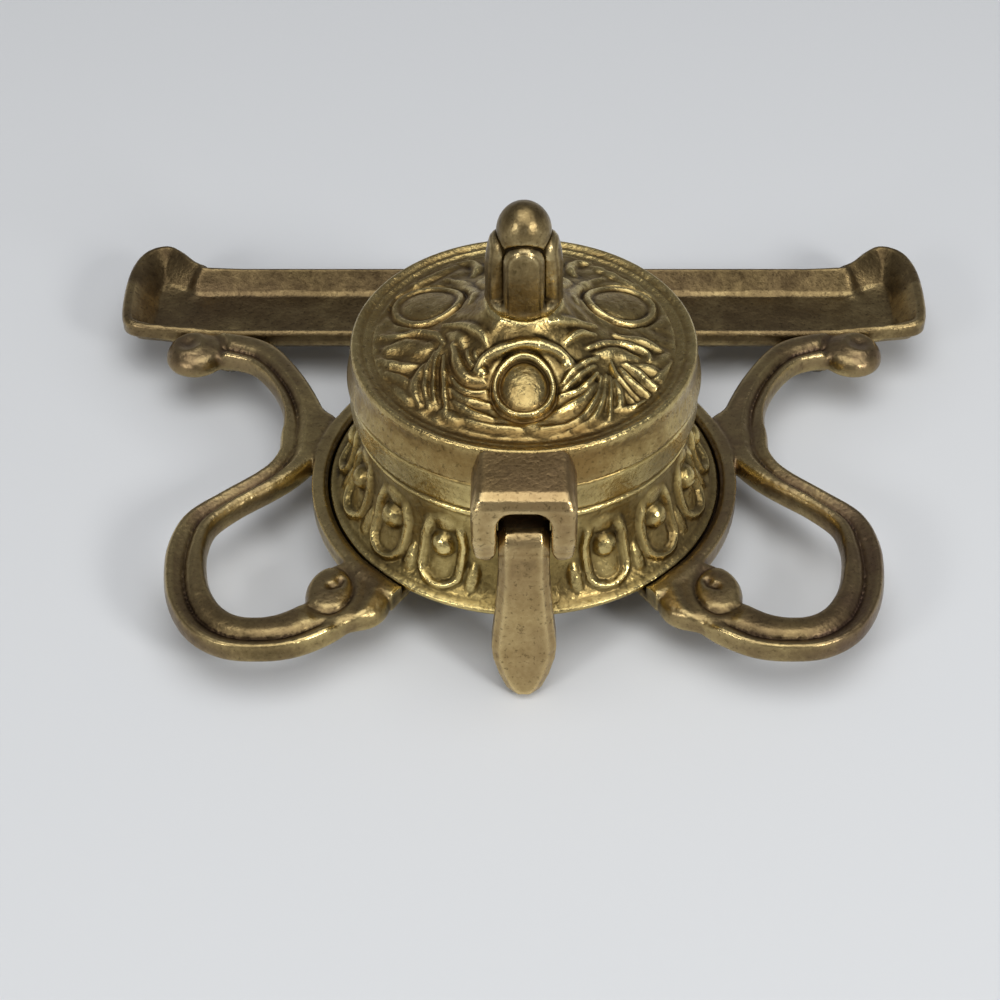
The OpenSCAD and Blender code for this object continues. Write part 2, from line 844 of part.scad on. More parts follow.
nut_h = 2.6;
nut_r = 3.8;
module finial_nut() {
    color("#9c8650")
    at_well()
        translate([0, 0, crown_under_z - nut_h])
            difference() {
                cylinder(r = nut_r, h = nut_h, $fn = 6);
                translate([0, 0, -eps])
                    cylinder(r = stud_r + snug, h = nut_h + 2 * eps);
            }
}

// ---- feet and screws ----

module front_foot(side) {
    color(brass)
    at_well()
        translate([side * foot_x, foot_y, 0])
            difference() {
                rotate_extrude()
                    polygon([
                        [0, 0], [foot_r - 0.6, 0], [foot_r, 0.6], [foot_r, 1.6],
                        [foot_r - 0.9, 2.4], [foot_r - 0.9, foot_top - 1.2],
                        [foot_r - 0.4, foot_top - 0.5], [foot_r - 0.4, foot_top], [0, foot_top]
                    ]);
                translate([0, 0, -eps])
                    cylinder(r = screw_r + snug, h = foot_top + 2 * eps);
                translate([0, 0, -eps])
                    cylinder(r = head_r + 0.2, h = foot_top - screw_grip + eps);
            }
}

module front_foot_left() {
    front_foot(-1);
}

module front_foot_right() {
    front_foot(1);
}

module foot_screws() {
    color("#7b7466")
    at_well()
        mirrored_pair()
            translate([foot_x, foot_y, foot_top - screw_grip - head_t])
                screw(2 * screw_grip);
}

module tray_screws() {
    color("#7b7466")
    at_well()
        mirrored_pair()
            for (x = tray_screw_x)
                translate([x, tray_tab_y, frame_z - tray_floor - head_t])
                    screw(tray_floor + screw_grip);
}

module well_screws() {
    color("#7b7466")
    at_well()
        for (a = well_screw_angles)
            rotate([0, 0, a])
                translate([well_screw_r, 0, frame_z - head_t])
                    screw(ledge_t + well_grip);
}

module leg_screws() {
    color("#7b7466")
    at_well()
        for (z = leg_screw_z)
            leg_screw_at(z)
                screw(pad_face_y - leg_screw_head_y + screw_grip - head_t);
}

stand_frame();
pen_tray();
well_body();
rear_leg();
lid();
finial();
finial_nut();
hinge_pin();
ink_pot();
front_foot_left();
front_foot_right();
foot_screws();
tray_screws();
well_screws();
leg_screws();
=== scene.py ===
import math

import bpy
import numpy as np
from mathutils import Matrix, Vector


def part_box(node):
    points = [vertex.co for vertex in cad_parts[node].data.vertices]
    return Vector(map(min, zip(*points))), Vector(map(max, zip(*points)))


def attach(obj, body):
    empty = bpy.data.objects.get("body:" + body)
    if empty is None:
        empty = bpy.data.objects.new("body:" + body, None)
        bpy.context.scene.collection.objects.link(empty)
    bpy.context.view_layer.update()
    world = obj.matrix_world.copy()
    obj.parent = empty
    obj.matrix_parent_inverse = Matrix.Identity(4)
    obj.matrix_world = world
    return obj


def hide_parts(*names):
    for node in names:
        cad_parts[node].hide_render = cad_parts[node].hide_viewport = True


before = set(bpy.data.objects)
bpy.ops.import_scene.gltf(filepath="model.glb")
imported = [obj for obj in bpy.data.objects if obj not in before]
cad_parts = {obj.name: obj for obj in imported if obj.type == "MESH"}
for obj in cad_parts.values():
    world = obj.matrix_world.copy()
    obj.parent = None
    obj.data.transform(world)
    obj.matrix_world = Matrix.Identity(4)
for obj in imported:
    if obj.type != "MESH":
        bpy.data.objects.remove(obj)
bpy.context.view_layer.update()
print("frame loaded:", len(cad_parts), "nodes")

# Sizes below are in millimetres from the well's axis, z from the table; toRow() brings them to the row frame.
potLow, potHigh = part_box("ink_pot")
wellY = (potLow.y + potHigh.y) * 500.0


def toRow(points):
    return (np.asarray(points, float) + (0.0, wellY, 0.0)) * 0.001


def hexColour(text):
    # linear colour from an sRGB hex value
    rgb = [int(text[i:i + 2], 16) / 255 for i in (1, 3, 5)]
    return tuple(c / 12.92 if c <= 0.04045 else ((c + 0.055) / 1.055) ** 2.4 for c in rgb) + (1.0,)


def addNode(tree, kind, settings=None, **inputs):
    # inputs are values or output sockets; a name may carry a socket number, as in Value_1
    node = tree.nodes.new(kind)
    for key, value in (settings or {}).items():
        setattr(node, key, value)
    for key, value in inputs.items():
        name, _, number = key.rpartition("_")
        if number.isdigit():
            socket = [s for s in node.inputs if s.name == name.replace("_", " ")][int(number)]
        else:
            socket = node.inputs[key.replace("_", " ")]
        if isinstance(value, bpy.types.NodeSocket):
            tree.links.new(value, socket)
        else:
            socket.default_value = value
    return node


def makeMesh(name, points, faces):
    mesh = bpy.data.meshes.new(name)
    mesh.from_pydata(toRow(points).tolist(), [], faces.tolist())
    mesh.update()
    mesh.polygons.foreach_set("use_smooth", [True] * len(mesh.polygons))
    piece = bpy.data.objects.new(name, mesh)
    bpy.context.scene.collection.objects.link(piece)
    return piece


def markRubAndShade(piece, spread=10, gain=0.55, wearAndShade=None):
    # How far each point stands proud (1) or lies in a recess (0), from the bend of the surface round it;
    # a given function adds wear, painted shade and painted light at places, from x, y and z in mm
    mesh = piece.data
    count = len(mesh.vertices)
    place = np.zeros(count * 3); mesh.vertices.foreach_get("co", place)
    facing = np.zeros(count * 3); mesh.vertices.foreach_get("normal", facing)
    place = place.reshape(-1, 3) * 1000; facing = facing.reshape(-1, 3)
    edges = np.zeros(len(mesh.edges) * 2, int); mesh.edges.foreach_get("vertices", edges)
    a, b = edges.reshape(-1, 2).T
    valence = np.maximum(np.bincount(a, minlength=count) + np.bincount(b, minlength=count), 1)

    def around(values):
        return (np.bincount(a, values[b], count) + np.bincount(b, values[a], count)) / valence

    away = np.stack([around(place[:, k]) for k in range(3)], 1) - place
    reach = np.sum((place[a] - place[b]) ** 2, 1)
    span = (np.bincount(a, reach, count) + np.bincount(b, reach, count)) / valence
    bend = np.clip(-2 * np.sum(away * facing, 1) / np.maximum(span, 1e-6), -3, 3)
    for _ in range(2):
        bend = 0.5 * bend + 0.5 * around(bend)
    wide = bend.copy()
    for _ in range(spread):
        wide = 0.4 * wide + 0.6 * around(wide)
    rubAndShade = 0.5 + 0.5 * np.tanh(gain * (0.6 * bend + 1.6 * wide))
    if wearAndShade is not None:
        rubAndShade = np.clip(rubAndShade + wearAndShade(place[:, 0], place[:, 1] - wellY, place[:, 2]), 0, 1)
    mesh.attributes.new("rubAndShade", "FLOAT", "POINT").data.foreach_set("value", rubAndShade.astype(np.float32))
    print(piece.name, "made:", len(mesh.polygons), "faces")


def smoothMax(a, b, k):
    h = np.clip(0.5 - 0.5 * (b - a) / k, 0, 1)
    return b + (a - b) * h + k * h * (1 - h)


def smoothMin(a, b, k):
    return -smoothMax(-a, -b, k)


def chamferMax(a, b, size):
    return np.maximum(np.maximum(a, b), (a + b + size) * 0.7071)


def netSurface(name, field, low, high, cell, settle=2):
    # Skin of a solid given as a field that is negative inside: one point in each cell that the skin crosses
    axes = [np.arange(low[k], high[k] + cell, cell) for k in range(3)]
    values = np.asarray(field(axes[0][:, None, None], axes[1][None, :, None], axes[2][None, None, :]))
    inside = values < 0
    steps = np.array([values.shape[1] * values.shape[2], values.shape[2], 1])
    cells, spots, quads = [], [], []
    for axis in range(3):
        side, up = (axis + 1) % 3, (axis + 2) % 3
        lower = tuple(slice(0, -1) if k == axis else slice(1, -1) for k in range(3))
        upper = tuple(slice(1, None) if k == axis else slice(1, -1) for k in range(3))
        at = np.argwhere(inside[lower] != inside[upper]) + [0 if k == axis else 1 for k in range(3)]
        after = at.copy(); after[:, axis] += 1
        here, there = values[tuple(at.T)], values[tuple(after.T)]
        spot = np.stack([axes[k][at[:, k]] for k in range(3)], 1)
        spot[:, axis] += here / (here - there) * cell
        ring = []
        for i, j in ((0, 0), (-1, 0), (-1, -1), (0, -1)):
            beside = at.copy(); beside[:, side] += i; beside[:, up] += j
            ring.append(beside @ steps)
        ring = np.stack(ring, 1)
        quads.append(np.where((here < 0)[:, None], ring, ring[:, ::-1]))
        cells.append(ring.ravel()); spots.append(np.repeat(spot, 4, 0))
    names, index = np.unique(np.concatenate(cells), return_inverse=True)
    spots = np.concatenate(spots)
    share = np.bincount(index)
    points = np.stack([np.bincount(index, spots[:, k]) / share for k in range(3)], 1)
    faces = np.searchsorted(names, np.concatenate(quads))
    for _ in range(settle):
        h = 0.04
        value = field(*points.T)
        slope = np.stack([(field(*(points + h * e).T) - field(*(points - h * e).T)) / (2 * h)
                          for e in np.eye(3)], 1)
        step = slope * (value / np.maximum(np.sum(slope ** 2, 1), 0.05))[:, None]
        points -= np.clip(step, -0.3 * cell, 0.3 * cell)
    return makeMesh(name, points, faces)


class FlatMap:
    # Values on a grid over the plan, read in between by straight lines; wear rounds them off that many times
    def __init__(self, x0, y0, x1, y1, step, rule, wear=0):
        self.x0, self.y0, self.step = x0, y0, step
        xs = np.arange(x0, x1 + step, step); ys = np.arange(y0, y1 + step, step)
        self.grid = rule(*np.meshgrid(xs, ys, indexing="ij"))
        for _ in range(wear):
            g = np.pad(self.grid, 1, "edge")
            g = (g[:-2] + 2 * g[1:-1] + g[2:]) / 4
            self.grid = (g[:, :-2] + 2 * g[:, 1:-1] + g[:, 2:]) / 4

    def __call__(self, x, y):
        u = np.clip((x - self.x0) / self.step, 0, self.grid.shape[0] - 1.001)
        v = np.clip((y - self.y0) / self.step, 0, self.grid.shape[1] - 1.001)
        i, j = u.astype(int), v.astype(int)
        u, v = u - i, v - j
        g = self.grid
        return (g[i, j] * (1 - u) + g[i + 1, j] * u) * (1 - v) + (g[i, j + 1] * (1 - u) + g[i + 1, j + 1] * u) * v


def softCurve(stations, count):
    # Smooth open curve through the stations
    p = np.asarray(stations, float)
    p = np.vstack([p[0], p, p[-1]])
    out = []
    for a, b, c, d in zip(p, p[1:], p[2:], p[3:]):
        for t in np.linspace(0, 1, count, endpoint=False):
            out.append(0.5 * (2 * b + (c - a) * t + (2 * a - 5 * b + 4 * c - d) * t ** 2
                              + (3 * b - a - 3 * c + d) * t ** 3))
    return np.array(out + [p[-1]])


def nearLine(x, y, line):
    # Distance to a line of points, side (+ is left), and how far along it in points
    best = np.full(np.broadcast(x, y).shape, 1e9)
    side, along = np.zeros_like(best), np.zeros_like(best)
    for i in range(len(line) - 1):
        ax, ay = line[i][:2]; dx, dy = line[i + 1][0] - ax, line[i + 1][1] - ay
        size = dx * dx + dy * dy + 1e-12
        t = np.clip(((x - ax) * dx + (y - ay) * dy) / size, 0, 1)
        gap = (x - ax - t * dx) ** 2 + (y - ay - t * dy) ** 2
        closer = gap < best
        best = np.where(closer, gap, best)
        side = np.where(closer, np.sign(dx * (y - ay) - dy * (x - ax)), side)
        along = np.where(closer, i + t, along)
    return np.sqrt(best), side, along


def outlineGap(x, y, outline):
    # Signed distance to a closed outline, negative inside
    loop = np.vstack([outline, outline[:1]])
    gap, _, _ = nearLine(x, y, loop)
    odd = np.zeros(gap.shape, bool)
    for (ax, ay), (bx, by) in zip(loop[:-1], loop[1:]):
        if ay != by:
            odd ^= ((ay > y) != (by > y)) & (x < (bx - ax) * (y - ay) / (by - ay) + ax)
    return np.where(odd, -gap, gap)


def rise(x, a, b):
    t = np.clip((x - a) / (b - a), 0, 1)
    return t * t * (3 - 2 * t)


def ridgeAt(x, middle, half):
    # Rounded ridge, 1 on its middle
    return np.sqrt(np.clip(1 - ((x - middle) / half) ** 2, 0, 1))


def hump(x, middle, half):
    # Soft bell, 1 on its middle
    return np.exp(-((x - middle) / half) ** 2)


def pebble(u, v, wide, long):
    # Domed oval, 1 on its middle
    return np.sqrt(np.clip(1 - (u / wide) ** 2 - (v / long) ** 2, 0, 1))


def mirrored(right):
    # Closed outline from its right half, listed from the top down
    return [(-x, z) for x, z in right] + right[::-1]


def agedBrass(name, recess, body, rubbed, tone, rough=(0.5, 0.2), pits=0.35, chased=0.12, patchSize=9.0,
              toneBy=None, even=None):
    # Cast brass, browned by age: dark in the recesses, olive-gold on the faces and pale where hands
    # and cloths have rubbed it, with the painted shade and light that some pieces add; fine sand pits from the mould
    # break up its shine.
    material = bpy.data.materials.new(name)
    material.use_nodes = True
    tree = material.node_tree
    shader = tree.nodes["Principled BSDF"]
    shader.inputs["Metallic"].default_value = 1.0
    place = addNode(tree, "ShaderNodeTexCoord").outputs["Object"]
    if even is None:
        rubAndShade = addNode(tree, "ShaderNodeAttribute", {"attribute_name": "rubAndShade"}).outputs["Fac"]
    # each pattern at its real size in mm, then detail, roughness and distortion
    noise = {}
    for key, size, *shape in (("patches", patchSize, 5.0, 0.62, 0), ("grain", 1.1, 4.0, 0.7, 0),
                              ("tone", 26.0, 3.0, 0.5, 0), ("pits", 0.75, 3.0, 0.6, 0),
                              ("strokes", 1.6, 2.5, 0.55, 0.8), ("waves", 3.2, 2.0, 0.5, 0)):
        noise[key] = addNode(tree, "ShaderNodeTexNoise", Vector=place, Scale=1000 / size, Detail=shape[0],
                             Roughness=shape[1], Distortion=shape[2]).outputs["Fac"]
    # wear: the mark of the surface's bend with the painted shade and light added to it, broken up by patches and grain
    shift = -0.48
    for key, weight in (("grain", 0.34), ("patches", 0.62)):
        shift = addNode(tree, "ShaderNodeMath", {"operation": "MULTIPLY_ADD"}, Value_0=noise[key], Value_1=weight,
                        Value_2=shift).outputs[0]
    wear = addNode(tree, "ShaderNodeMath", {"operation": "ADD", "use_clamp": True},
                   Value_0=rubAndShade if even is None else even, Value_1=shift)
    ramp = addNode(tree, "ShaderNodeValToRGB", Fac=wear.outputs[0])
    stops = ramp.color_ramp.elements
    stops[0].position, stops[0].color = 0.16, hexColour(recess)
    stops[1].position, stops[1].color = 0.88, hexColour(rubbed)
    middle = stops.new(0.48); middle.color = hexColour(body)
    tonePart = addNode(tree, "ShaderNodeMapRange", Value=noise["tone"], From_Min=0.42, From_Max=0.68,
                       To_Min=0.0, To_Max=0.55)
    tinted = addNode(tree, "ShaderNodeMix", {"data_type": "RGBA"})
    if toneBy is not None:
        # a redder brown where no cloth goes: along which axis, where it starts and is full in mm, how much
        axis, start, full, share = toneBy
        along = addNode(tree, "ShaderNodeSeparateXYZ", Vector=place).outputs[axis]
        fromMiddle = addNode(tree, "ShaderNodeMath", {"operation": "ABSOLUTE"}, Value_0=along)
        farPart = addNode(tree, "ShaderNodeMapRange", Value=fromMiddle.outputs[0], From_Min=start / 1000,
                          From_Max=full / 1000, To_Min=0.0, To_Max=share)
        tonePart = addNode(tree, "ShaderNodeMath", {"operation": "ADD", "use_clamp": True},
                           Value_0=tonePart.outputs[0], Value_1=farPart.outputs[0])
    tree.links.new(tonePart.outputs[0], tinted.inputs["Factor"])
    tree.links.new(ramp.outputs["Color"], tinted.inputs[6])
    tinted.inputs[7].default_value = hexColour(tone)
    # sand pits of about half a millimetre hold dirt
    pitMark = addNode(tree, "ShaderNodeMapRange", Value=noise["pits"], From_Min=0.42, From_Max=0.33,
                      To_Min=0.0, To_Max=pits)
    pitted = addNode(tree, "ShaderNodeMix", {"data_type": "RGBA"})
    tree.links.new(pitMark.outputs[0], pitted.inputs["Factor"])
    tree.links.new(tinted.outputs[2], pitted.inputs[6])
    pitted.inputs[7].default_value = hexColour(recess)
    tree.links.new(pitted.outputs[2], shader.inputs["Base Color"])
    dull = addNode(tree, "ShaderNodeMapRange", Value=wear.outputs[0], From_Min=0.1, From_Max=0.95,
                   To_Min=rough[0], To_Max=rough[1])
    tree.links.new(dull.outputs[0], shader.inputs["Roughness"])
    # sand pits, the chaser's strokes, and the soft unevenness of old cast faces
    before = {}
    for key, strength, depth in (("pits", pits, 0.22), ("strokes", chased, 0.6), ("waves", 0.3, 0.5)):
        bump = addNode(tree, "ShaderNodeBump", Strength=strength, Distance=depth / 1000, Height=noise[key], **before)
        before = {"Normal": bump.outputs["Normal"]}
    tree.links.new(before["Normal"], shader.inputs["Normal"])
    return material


brassFrame = agedBrass("agedBrassFrame", "#2e2413", "#8a7750", "#dcc688", "#6a5548", toneBy=("X", 48, 74, 0.5))
brassTray = agedBrass("agedBrassTray", "#3a2e1e", "#7c6a48", "#cdb680", "#66543f", pits=0.55, chased=0.08,
                      patchSize=5.0)
brassWell = agedBrass("agedBrassWell", "#2c210f", "#988450", "#f0da94", "#7c6844", rough=(0.46, 0.15), chased=0.25)
brassLeg = agedBrass("agedBrassLeg", "#3a2c14", "#a88f60", "#e2ca92", "#907858", pits=0.5)
brassLid = agedBrass("agedBrassLid", "#2d2210", "#978252", "#f4e09c", "#86693c", rough=(0.46, 0.14), pits=0.45,
                     chased=0.25, toneBy=("Z", 45.2, 43.6, 0.3))
brassFinial = agedBrass("agedBrassFinial", "#2c210f", "#86744f", "#e4d09a", "#74603f", rough=(0.46, 0.17))
turnedBrass = agedBrass("turnedBrass", "#3b2d16", "#8a7440", "#b89b58", "#6a5636", pits=0.2, even=0.5)
# the screws are old steel, darkened with oil: the same wear in greys
steelScrew = agedBrass("oiledSteelScrews", "#26241f", "#5c5850", "#8d887c", "#4c443a", pits=0.25, even=0.5)
print("materials made")

# the scrolled frame: a strap from a rolled end at the tray, past the ring and round a loop to a second rolled end
frameSizes = {
    "faceZ": 12.0, "thickness": 3.6, "strap": 8.0,
    "ringOuter": 40.4, "ringInner": 37.3, "ledgeTop": 10.2, "ledgeHole": 25.6, "ringOpen": 36.0, "ledgeOpen": 33.4,
    "loop": (62.0, 41.6), "eye": (31.9, -30.7), "eyeR": 7.5, "heel": (29.0, -33.3), "heelR": 4.4,
    "hook": (67.4, 39.0), "hookR": 6.1, "web": (39.6, 16.2), "webR": 3.0, "curl": (30.6, -32.0), "curlR": 8.8,
    # the first size on the next line is the radius inside which painted shade darkens the frame round the well's foot
    "paintedShadeR": 38.2, "netCell": 0.4,
}
# lines chased into the rolled end of the loop: the crest of its outer band, the bent pit in its knob and a crease
eyeMarks = {"crest": [(26.6, -31.5), (27.2, -34.0), (29.6, -38.6), (34.0, -42.5)],
            "pit": [(33.0, -29.4), (33.3, -30.3), (34.4, -30.9)],
            "crease": [(33.6, -36.2), (35.6, -36.4), (38.2, -35.2)]}


def armStations(s):
    w, ring = s["strap"], s["ringOuter"]
    lx, ly = s["loop"]; ex, ey = s["eye"]; hx, hy = s["hook"]
    return [
        (hx - 1, hy + 2.2, w - 1), (hx - 6, hy + 0.9, w + 0.2), (hx - 10.6, hy - 0.4, w + 0.2),
        (hx - 13.9, hy - 2.2, w - 0.2), (hx - 17, hy - 5.7, w - 0.8), (ring + 6.5, hy - 11.4, w - 0.9),
        (ring + 3.9, ring * 0.53, w - 0.3), (ring + 2.6, ring * 0.39, w + 1), (ring + 2.6, ring * 0.3, w + 1.4),
        (ring + 3.1, ring * 0.173, w + 0.4), (ring + 5.4, ring * 0.054, w - 1),
        (ring + 8.8, -ring * 0.042, w - 1.7), (lx - 6.5, -ring * 0.178, w - 2), (lx - 1.6, -ring * 0.31, w - 1.2),
        (lx, -ring * 0.458, w - 0.6), (lx - 0.2, 17 - ly, w - 0.3), (lx - 1.8, 10 - ly, w + 0.1),
        (lx - 5.2, 4 - ly, w + 0.4), (lx - 9.8, 0.7 - ly, w + 0.4), (ex + 14.9, -ly, w + 0.4),
        (ex + 9.7, 1 - ly, w + 1), (ex + 4.7, ey - 6.9, w + 1.4), (ex + 1.1, ey - 3.5, w + 1),
    ]


def strapOutline(line):
    way = np.gradient(line[:, :2], axis=0)
    left = np.stack([-way[:, 1], way[:, 0]], 1) / np.linalg.norm(way, axis=1)[:, None]
    half = line[:, 2:3] / 2
    return np.vstack([line[:, :2] + left * half, (line[:, :2] - left * half)[::-1]])


armLine = softCurve(armStations(frameSizes), 8)


def armGap(x, y):
    s = frameSizes
    x = np.abs(x)
    gap = outlineGap(x, y, strapOutline(armLine))
    for end, blend in (("eye", 1.2), ("heel", 2.5), ("hook", 1.4), ("web", 2.5)):
        cx, cy = s[end]
        gap = smoothMin(gap, np.hypot(x - cx, y - cy) - s[end + "R"], blend)
    return gap


def strapTop(lateral, share):
    # Height across the strap: two soft rolls with a groove between them that wanders along the way
    groove = np.interp(share, (0, 0.1, 0.36, 0.5, 0.64, 0.77, 0.9, 1), (0.1, 0.3, 0.3, -0.05, -0.15, 0.2, 0.33, 0.33))
    outer = np.clip((lateral - groove) / (1 - groove), 0, 1.1)
    inner = np.clip((groove - lateral) / (1 + groove), 0, 1.1)
    crisp = rise(share, 0.62, 0.78)
    outerRise = 0.62 * hump(outer, 0.74, 0.26) + 0.2 * rise(outer, 0, 0.35) - 0.6 * rise(outer, 0.86, 1.1)
    outerRise = outerRise + 0.3 * crisp * hump(outer, 0.9, 0.09)
    innerRise = 1.2 * ridgeAt(inner, 0.46, 0.64) - 0.35 - 0.6 * rise(inner, 0.86, 1.1)
    # beside the ring the inner roll flattens out into the web
    flat = rise(share, 0.24, 0.31) * rise(share, 0.47, 0.4)
    innerRise = innerRise * (1 - 0.75 * flat) + 0.12 * flat
    depth = 0.42 - 0.1 * flat + 0.25 * hump(share, 0.3, 0.07)
    # a second, finer line rides on the outer roll where the strap passes the ring
    fine = 0.16 * rise(share, 0.14, 0.24) * rise(share, 0.62, 0.5) * hump(lateral - groove, -0.34, 0.07)
    return np.where(lateral > groove, outerRise, innerRise) - depth * hump(lateral - groove, 0, 0.17) + fine


def eyeTop(x, y):
    # Rolled end of the loop: a smooth outer band, a groove, and an oval knob curled round a bent pit
    s = frameSizes
    ex, ey = s["eye"]
    far = np.hypot(x - s["curl"][0], y - s["curl"][1]) / s["curlR"]
    base = 0.62 * np.sqrt(np.clip(1.14 - far ** 2, 0, 1)) - 0.1
    u, v = (x - ex - 3.3) / 4.0, (y - ey + 0.4) / 5.2
    knob = np.hypot(u, v)
    leftSide = rise(-u, -0.5, 0.3)
    base = base - 0.5 * hump(knob, 1.12, 0.14) * leftSide
    crest, _, _ = nearLine(x, y, softCurve(eyeMarks["crest"], 4))
    base = base + 0.35 * hump(crest, 0, 1.1)
    pit, _, _ = nearLine(x, y, eyeMarks["pit"])
    crease, _, _ = nearLine(x, y, eyeMarks["crease"])
    ball = 0.85 * np.sqrt(np.clip(1 - (knob / 1.06) ** 2, 0, 1)) ** 0.8 + 0.2
    top = smoothMax(base, np.where(knob < 1.06, ball, -1), 0.35)
    return top - 0.75 * hump(pit, 0, 0.8) - 0.3 * hump(crease, 0, 0.5)


def hookTop(x, y):
    # Rolled end at the tray: a pebble with a shallow dimple
    s = frameSizes
    hx, hy = s["hook"]
    far = np.hypot(x - hx, y - hy) / s["hookR"]
    dimple = np.hypot(x - hx - 1.4, (y - hy - 0.8) * 0.9)
    return 2.5 * np.sqrt(np.clip(1.06 - far ** 2, 0, 1)) - 1.55 - 0.75 * hump(dimple, 0, 1.5) \
        + 0.25 * hump(dimple, 2.9, 0.8)


def armTop(x, y):
    s = frameSizes
    x = np.abs(x)
    gap, side, along = nearLine(x, y, armLine)
    half = np.interp(along, np.arange(len(armLine)), armLine[:, 2]) / 2
    lateral = np.clip(gap * side / half, -1.15, 1.15)          # + is the side away from the loop's hole
    share = along / (len(armLine) - 1)
    top = strapTop(lateral, share)
    far = np.hypot(x - s["curl"][0], y - s["curl"][1]) / s["curlR"]
    blendIn = rise(far, 1.15, 0.86) * rise(share, 0.5, 0.7)
    top = top * (1 - blendIn) + eyeTop(x, y) * blendIn
    hx, hy = s["hook"]
    far = np.hypot(x - hx, y - hy) / s["hookR"]
    blendIn = rise(far, 1.15, 0.8) * (1 - rise(share, 0.3, 0.5))
    top = top * (1 - blendIn) + hookTop(x, y) * blendIn
    return s["faceZ"] - 0.05 + np.clip(top, -2.2, 1.3)


planStep = 0.2
armPlan = (-1, -52, 78, 50, planStep)
armGapMap, armTopMap = FlatMap(*armPlan, armGap), FlatMap(*armPlan, armTop)


def frameField(x, y, z):
    s = frameSizes
    ax = np.abs(x)
    bottom = s["faceZ"] - s["thickness"]
    arm = armGapMap(ax, y)
    solid = smoothMax(smoothMax(arm, z - armTopMap(ax, y), 1.9), bottom - z, 1.2)
    r = np.hypot(x, y)
    middle = (s["ringOuter"] + s["ringInner"]) / 2
    halfBand = (s["ringOuter"] - s["ringInner"]) / 2
    crest = s["faceZ"] + 0.1 + 0.5 * ridgeAt(r, middle + 0.15, 1.7) - 0.4 * hump(r, 37.7, 0.28)
    band = smoothMax(smoothMax(np.abs(r - middle) - halfBand, z - crest, 0.45), bottom - z, 0.5)
    away = np.abs(np.degrees(np.arctan2(ax, -y)))
    band = np.maximum(band, (s["ringOpen"] - away) * 0.6)
    ledgeEdge = np.where(away < s["ringOpen"], s["ledgeOpen"], s["ringInner"] + 1)
    ledge = np.maximum(np.maximum(s["ledgeHole"] - r, r - ledgeEdge), np.maximum(z - s["ledgeTop"], bottom - z))
    # the well's foot stands clear inside the ring
    pocket = np.maximum(r - s["ringInner"], s["ledgeTop"] - z)
    return np.minimum(np.maximum(smoothMin(solid, band, 1.1), -pocket), ledge)


scrollFrame = netSurface("scrollFrame", frameField, (-75, -48, 7.6), (75, 48, 14.2), frameSizes["netCell"])


def frameWearAndShade(x, y, z):
    # painted shade darkens the frame against the well's foot; the loops are darker towards the front, and the flat
    # beside the ring is rubbed
    return -0.35 * rise(frameSizes["paintedShadeR"] - np.hypot(x, y), 0, 0.8) * (z > 9) \
        - 0.16 * rise(-y, 28, 36) * rise(np.abs(x), 36, 42) + 0.12 * hump(np.abs(x), 43, 6) * hump(y, 8, 12)


markRubAndShade(scrollFrame, wearAndShade=frameWearAndShade)

# the pen tray: a shallow trough with lipped ends and thumb-shaped lobes at its rear corners
traySizes = {
    "halfLength": 84.5, "front": 43.6, "width": 23.2, "lobe": 6.8, "cornerBack": 1.0, "flare": 22.0,
    "depth": 3.8, "floor": 1.6, "lipRise": 1.4, "foot": (68.5, 59.0), "bossR": 4.6, "bossBottom": 5.0,
    "tongue": (53.0, 63.2, 37.5, 47.8), "netCell": 0.4,
}


def trayStations(s):
    h, f, fl, c, lo = s["halfLength"], s["front"], s["flare"], s["cornerBack"], s["lobe"]
    back = f + s["width"]; reach = back + lo
    return [
        (0, f), (59.4, f), (66.4, f + c * 0.2), (h - fl * 0.5, f + c * 0.6), (h - fl * 0.25, f + c),
        (h - 2, f + c + 1.4), (h - 0.5, f + c + 5), (h, (f + reach) / 2), (h - 0.5, reach - lo - 1.2),
        (h - fl * 0.1, reach - lo * 0.44), (h - fl * 0.227, reach - lo * 0.06), (h - fl * 0.364, reach),
        (h - fl * 0.5, reach - lo * 0.32), (h - fl * 0.636, back + lo * 0.235), (h - fl * 0.795, back + lo * 0.03),
        (h - fl, back), (0, back),
    ]


def trayGap(x, y):
    line = softCurve(trayStations(traySizes), 5)
    # the half outline is closed along the middle, well past it, so that the middle is no wall
    half = np.vstack([[(-30, line[0][1])], line, [(-30, line[-1][1])]])
    return outlineGap(np.abs(x), y, half)


trayGapMap = FlatMap(-1, 36, 86, 76, planStep, trayGap)


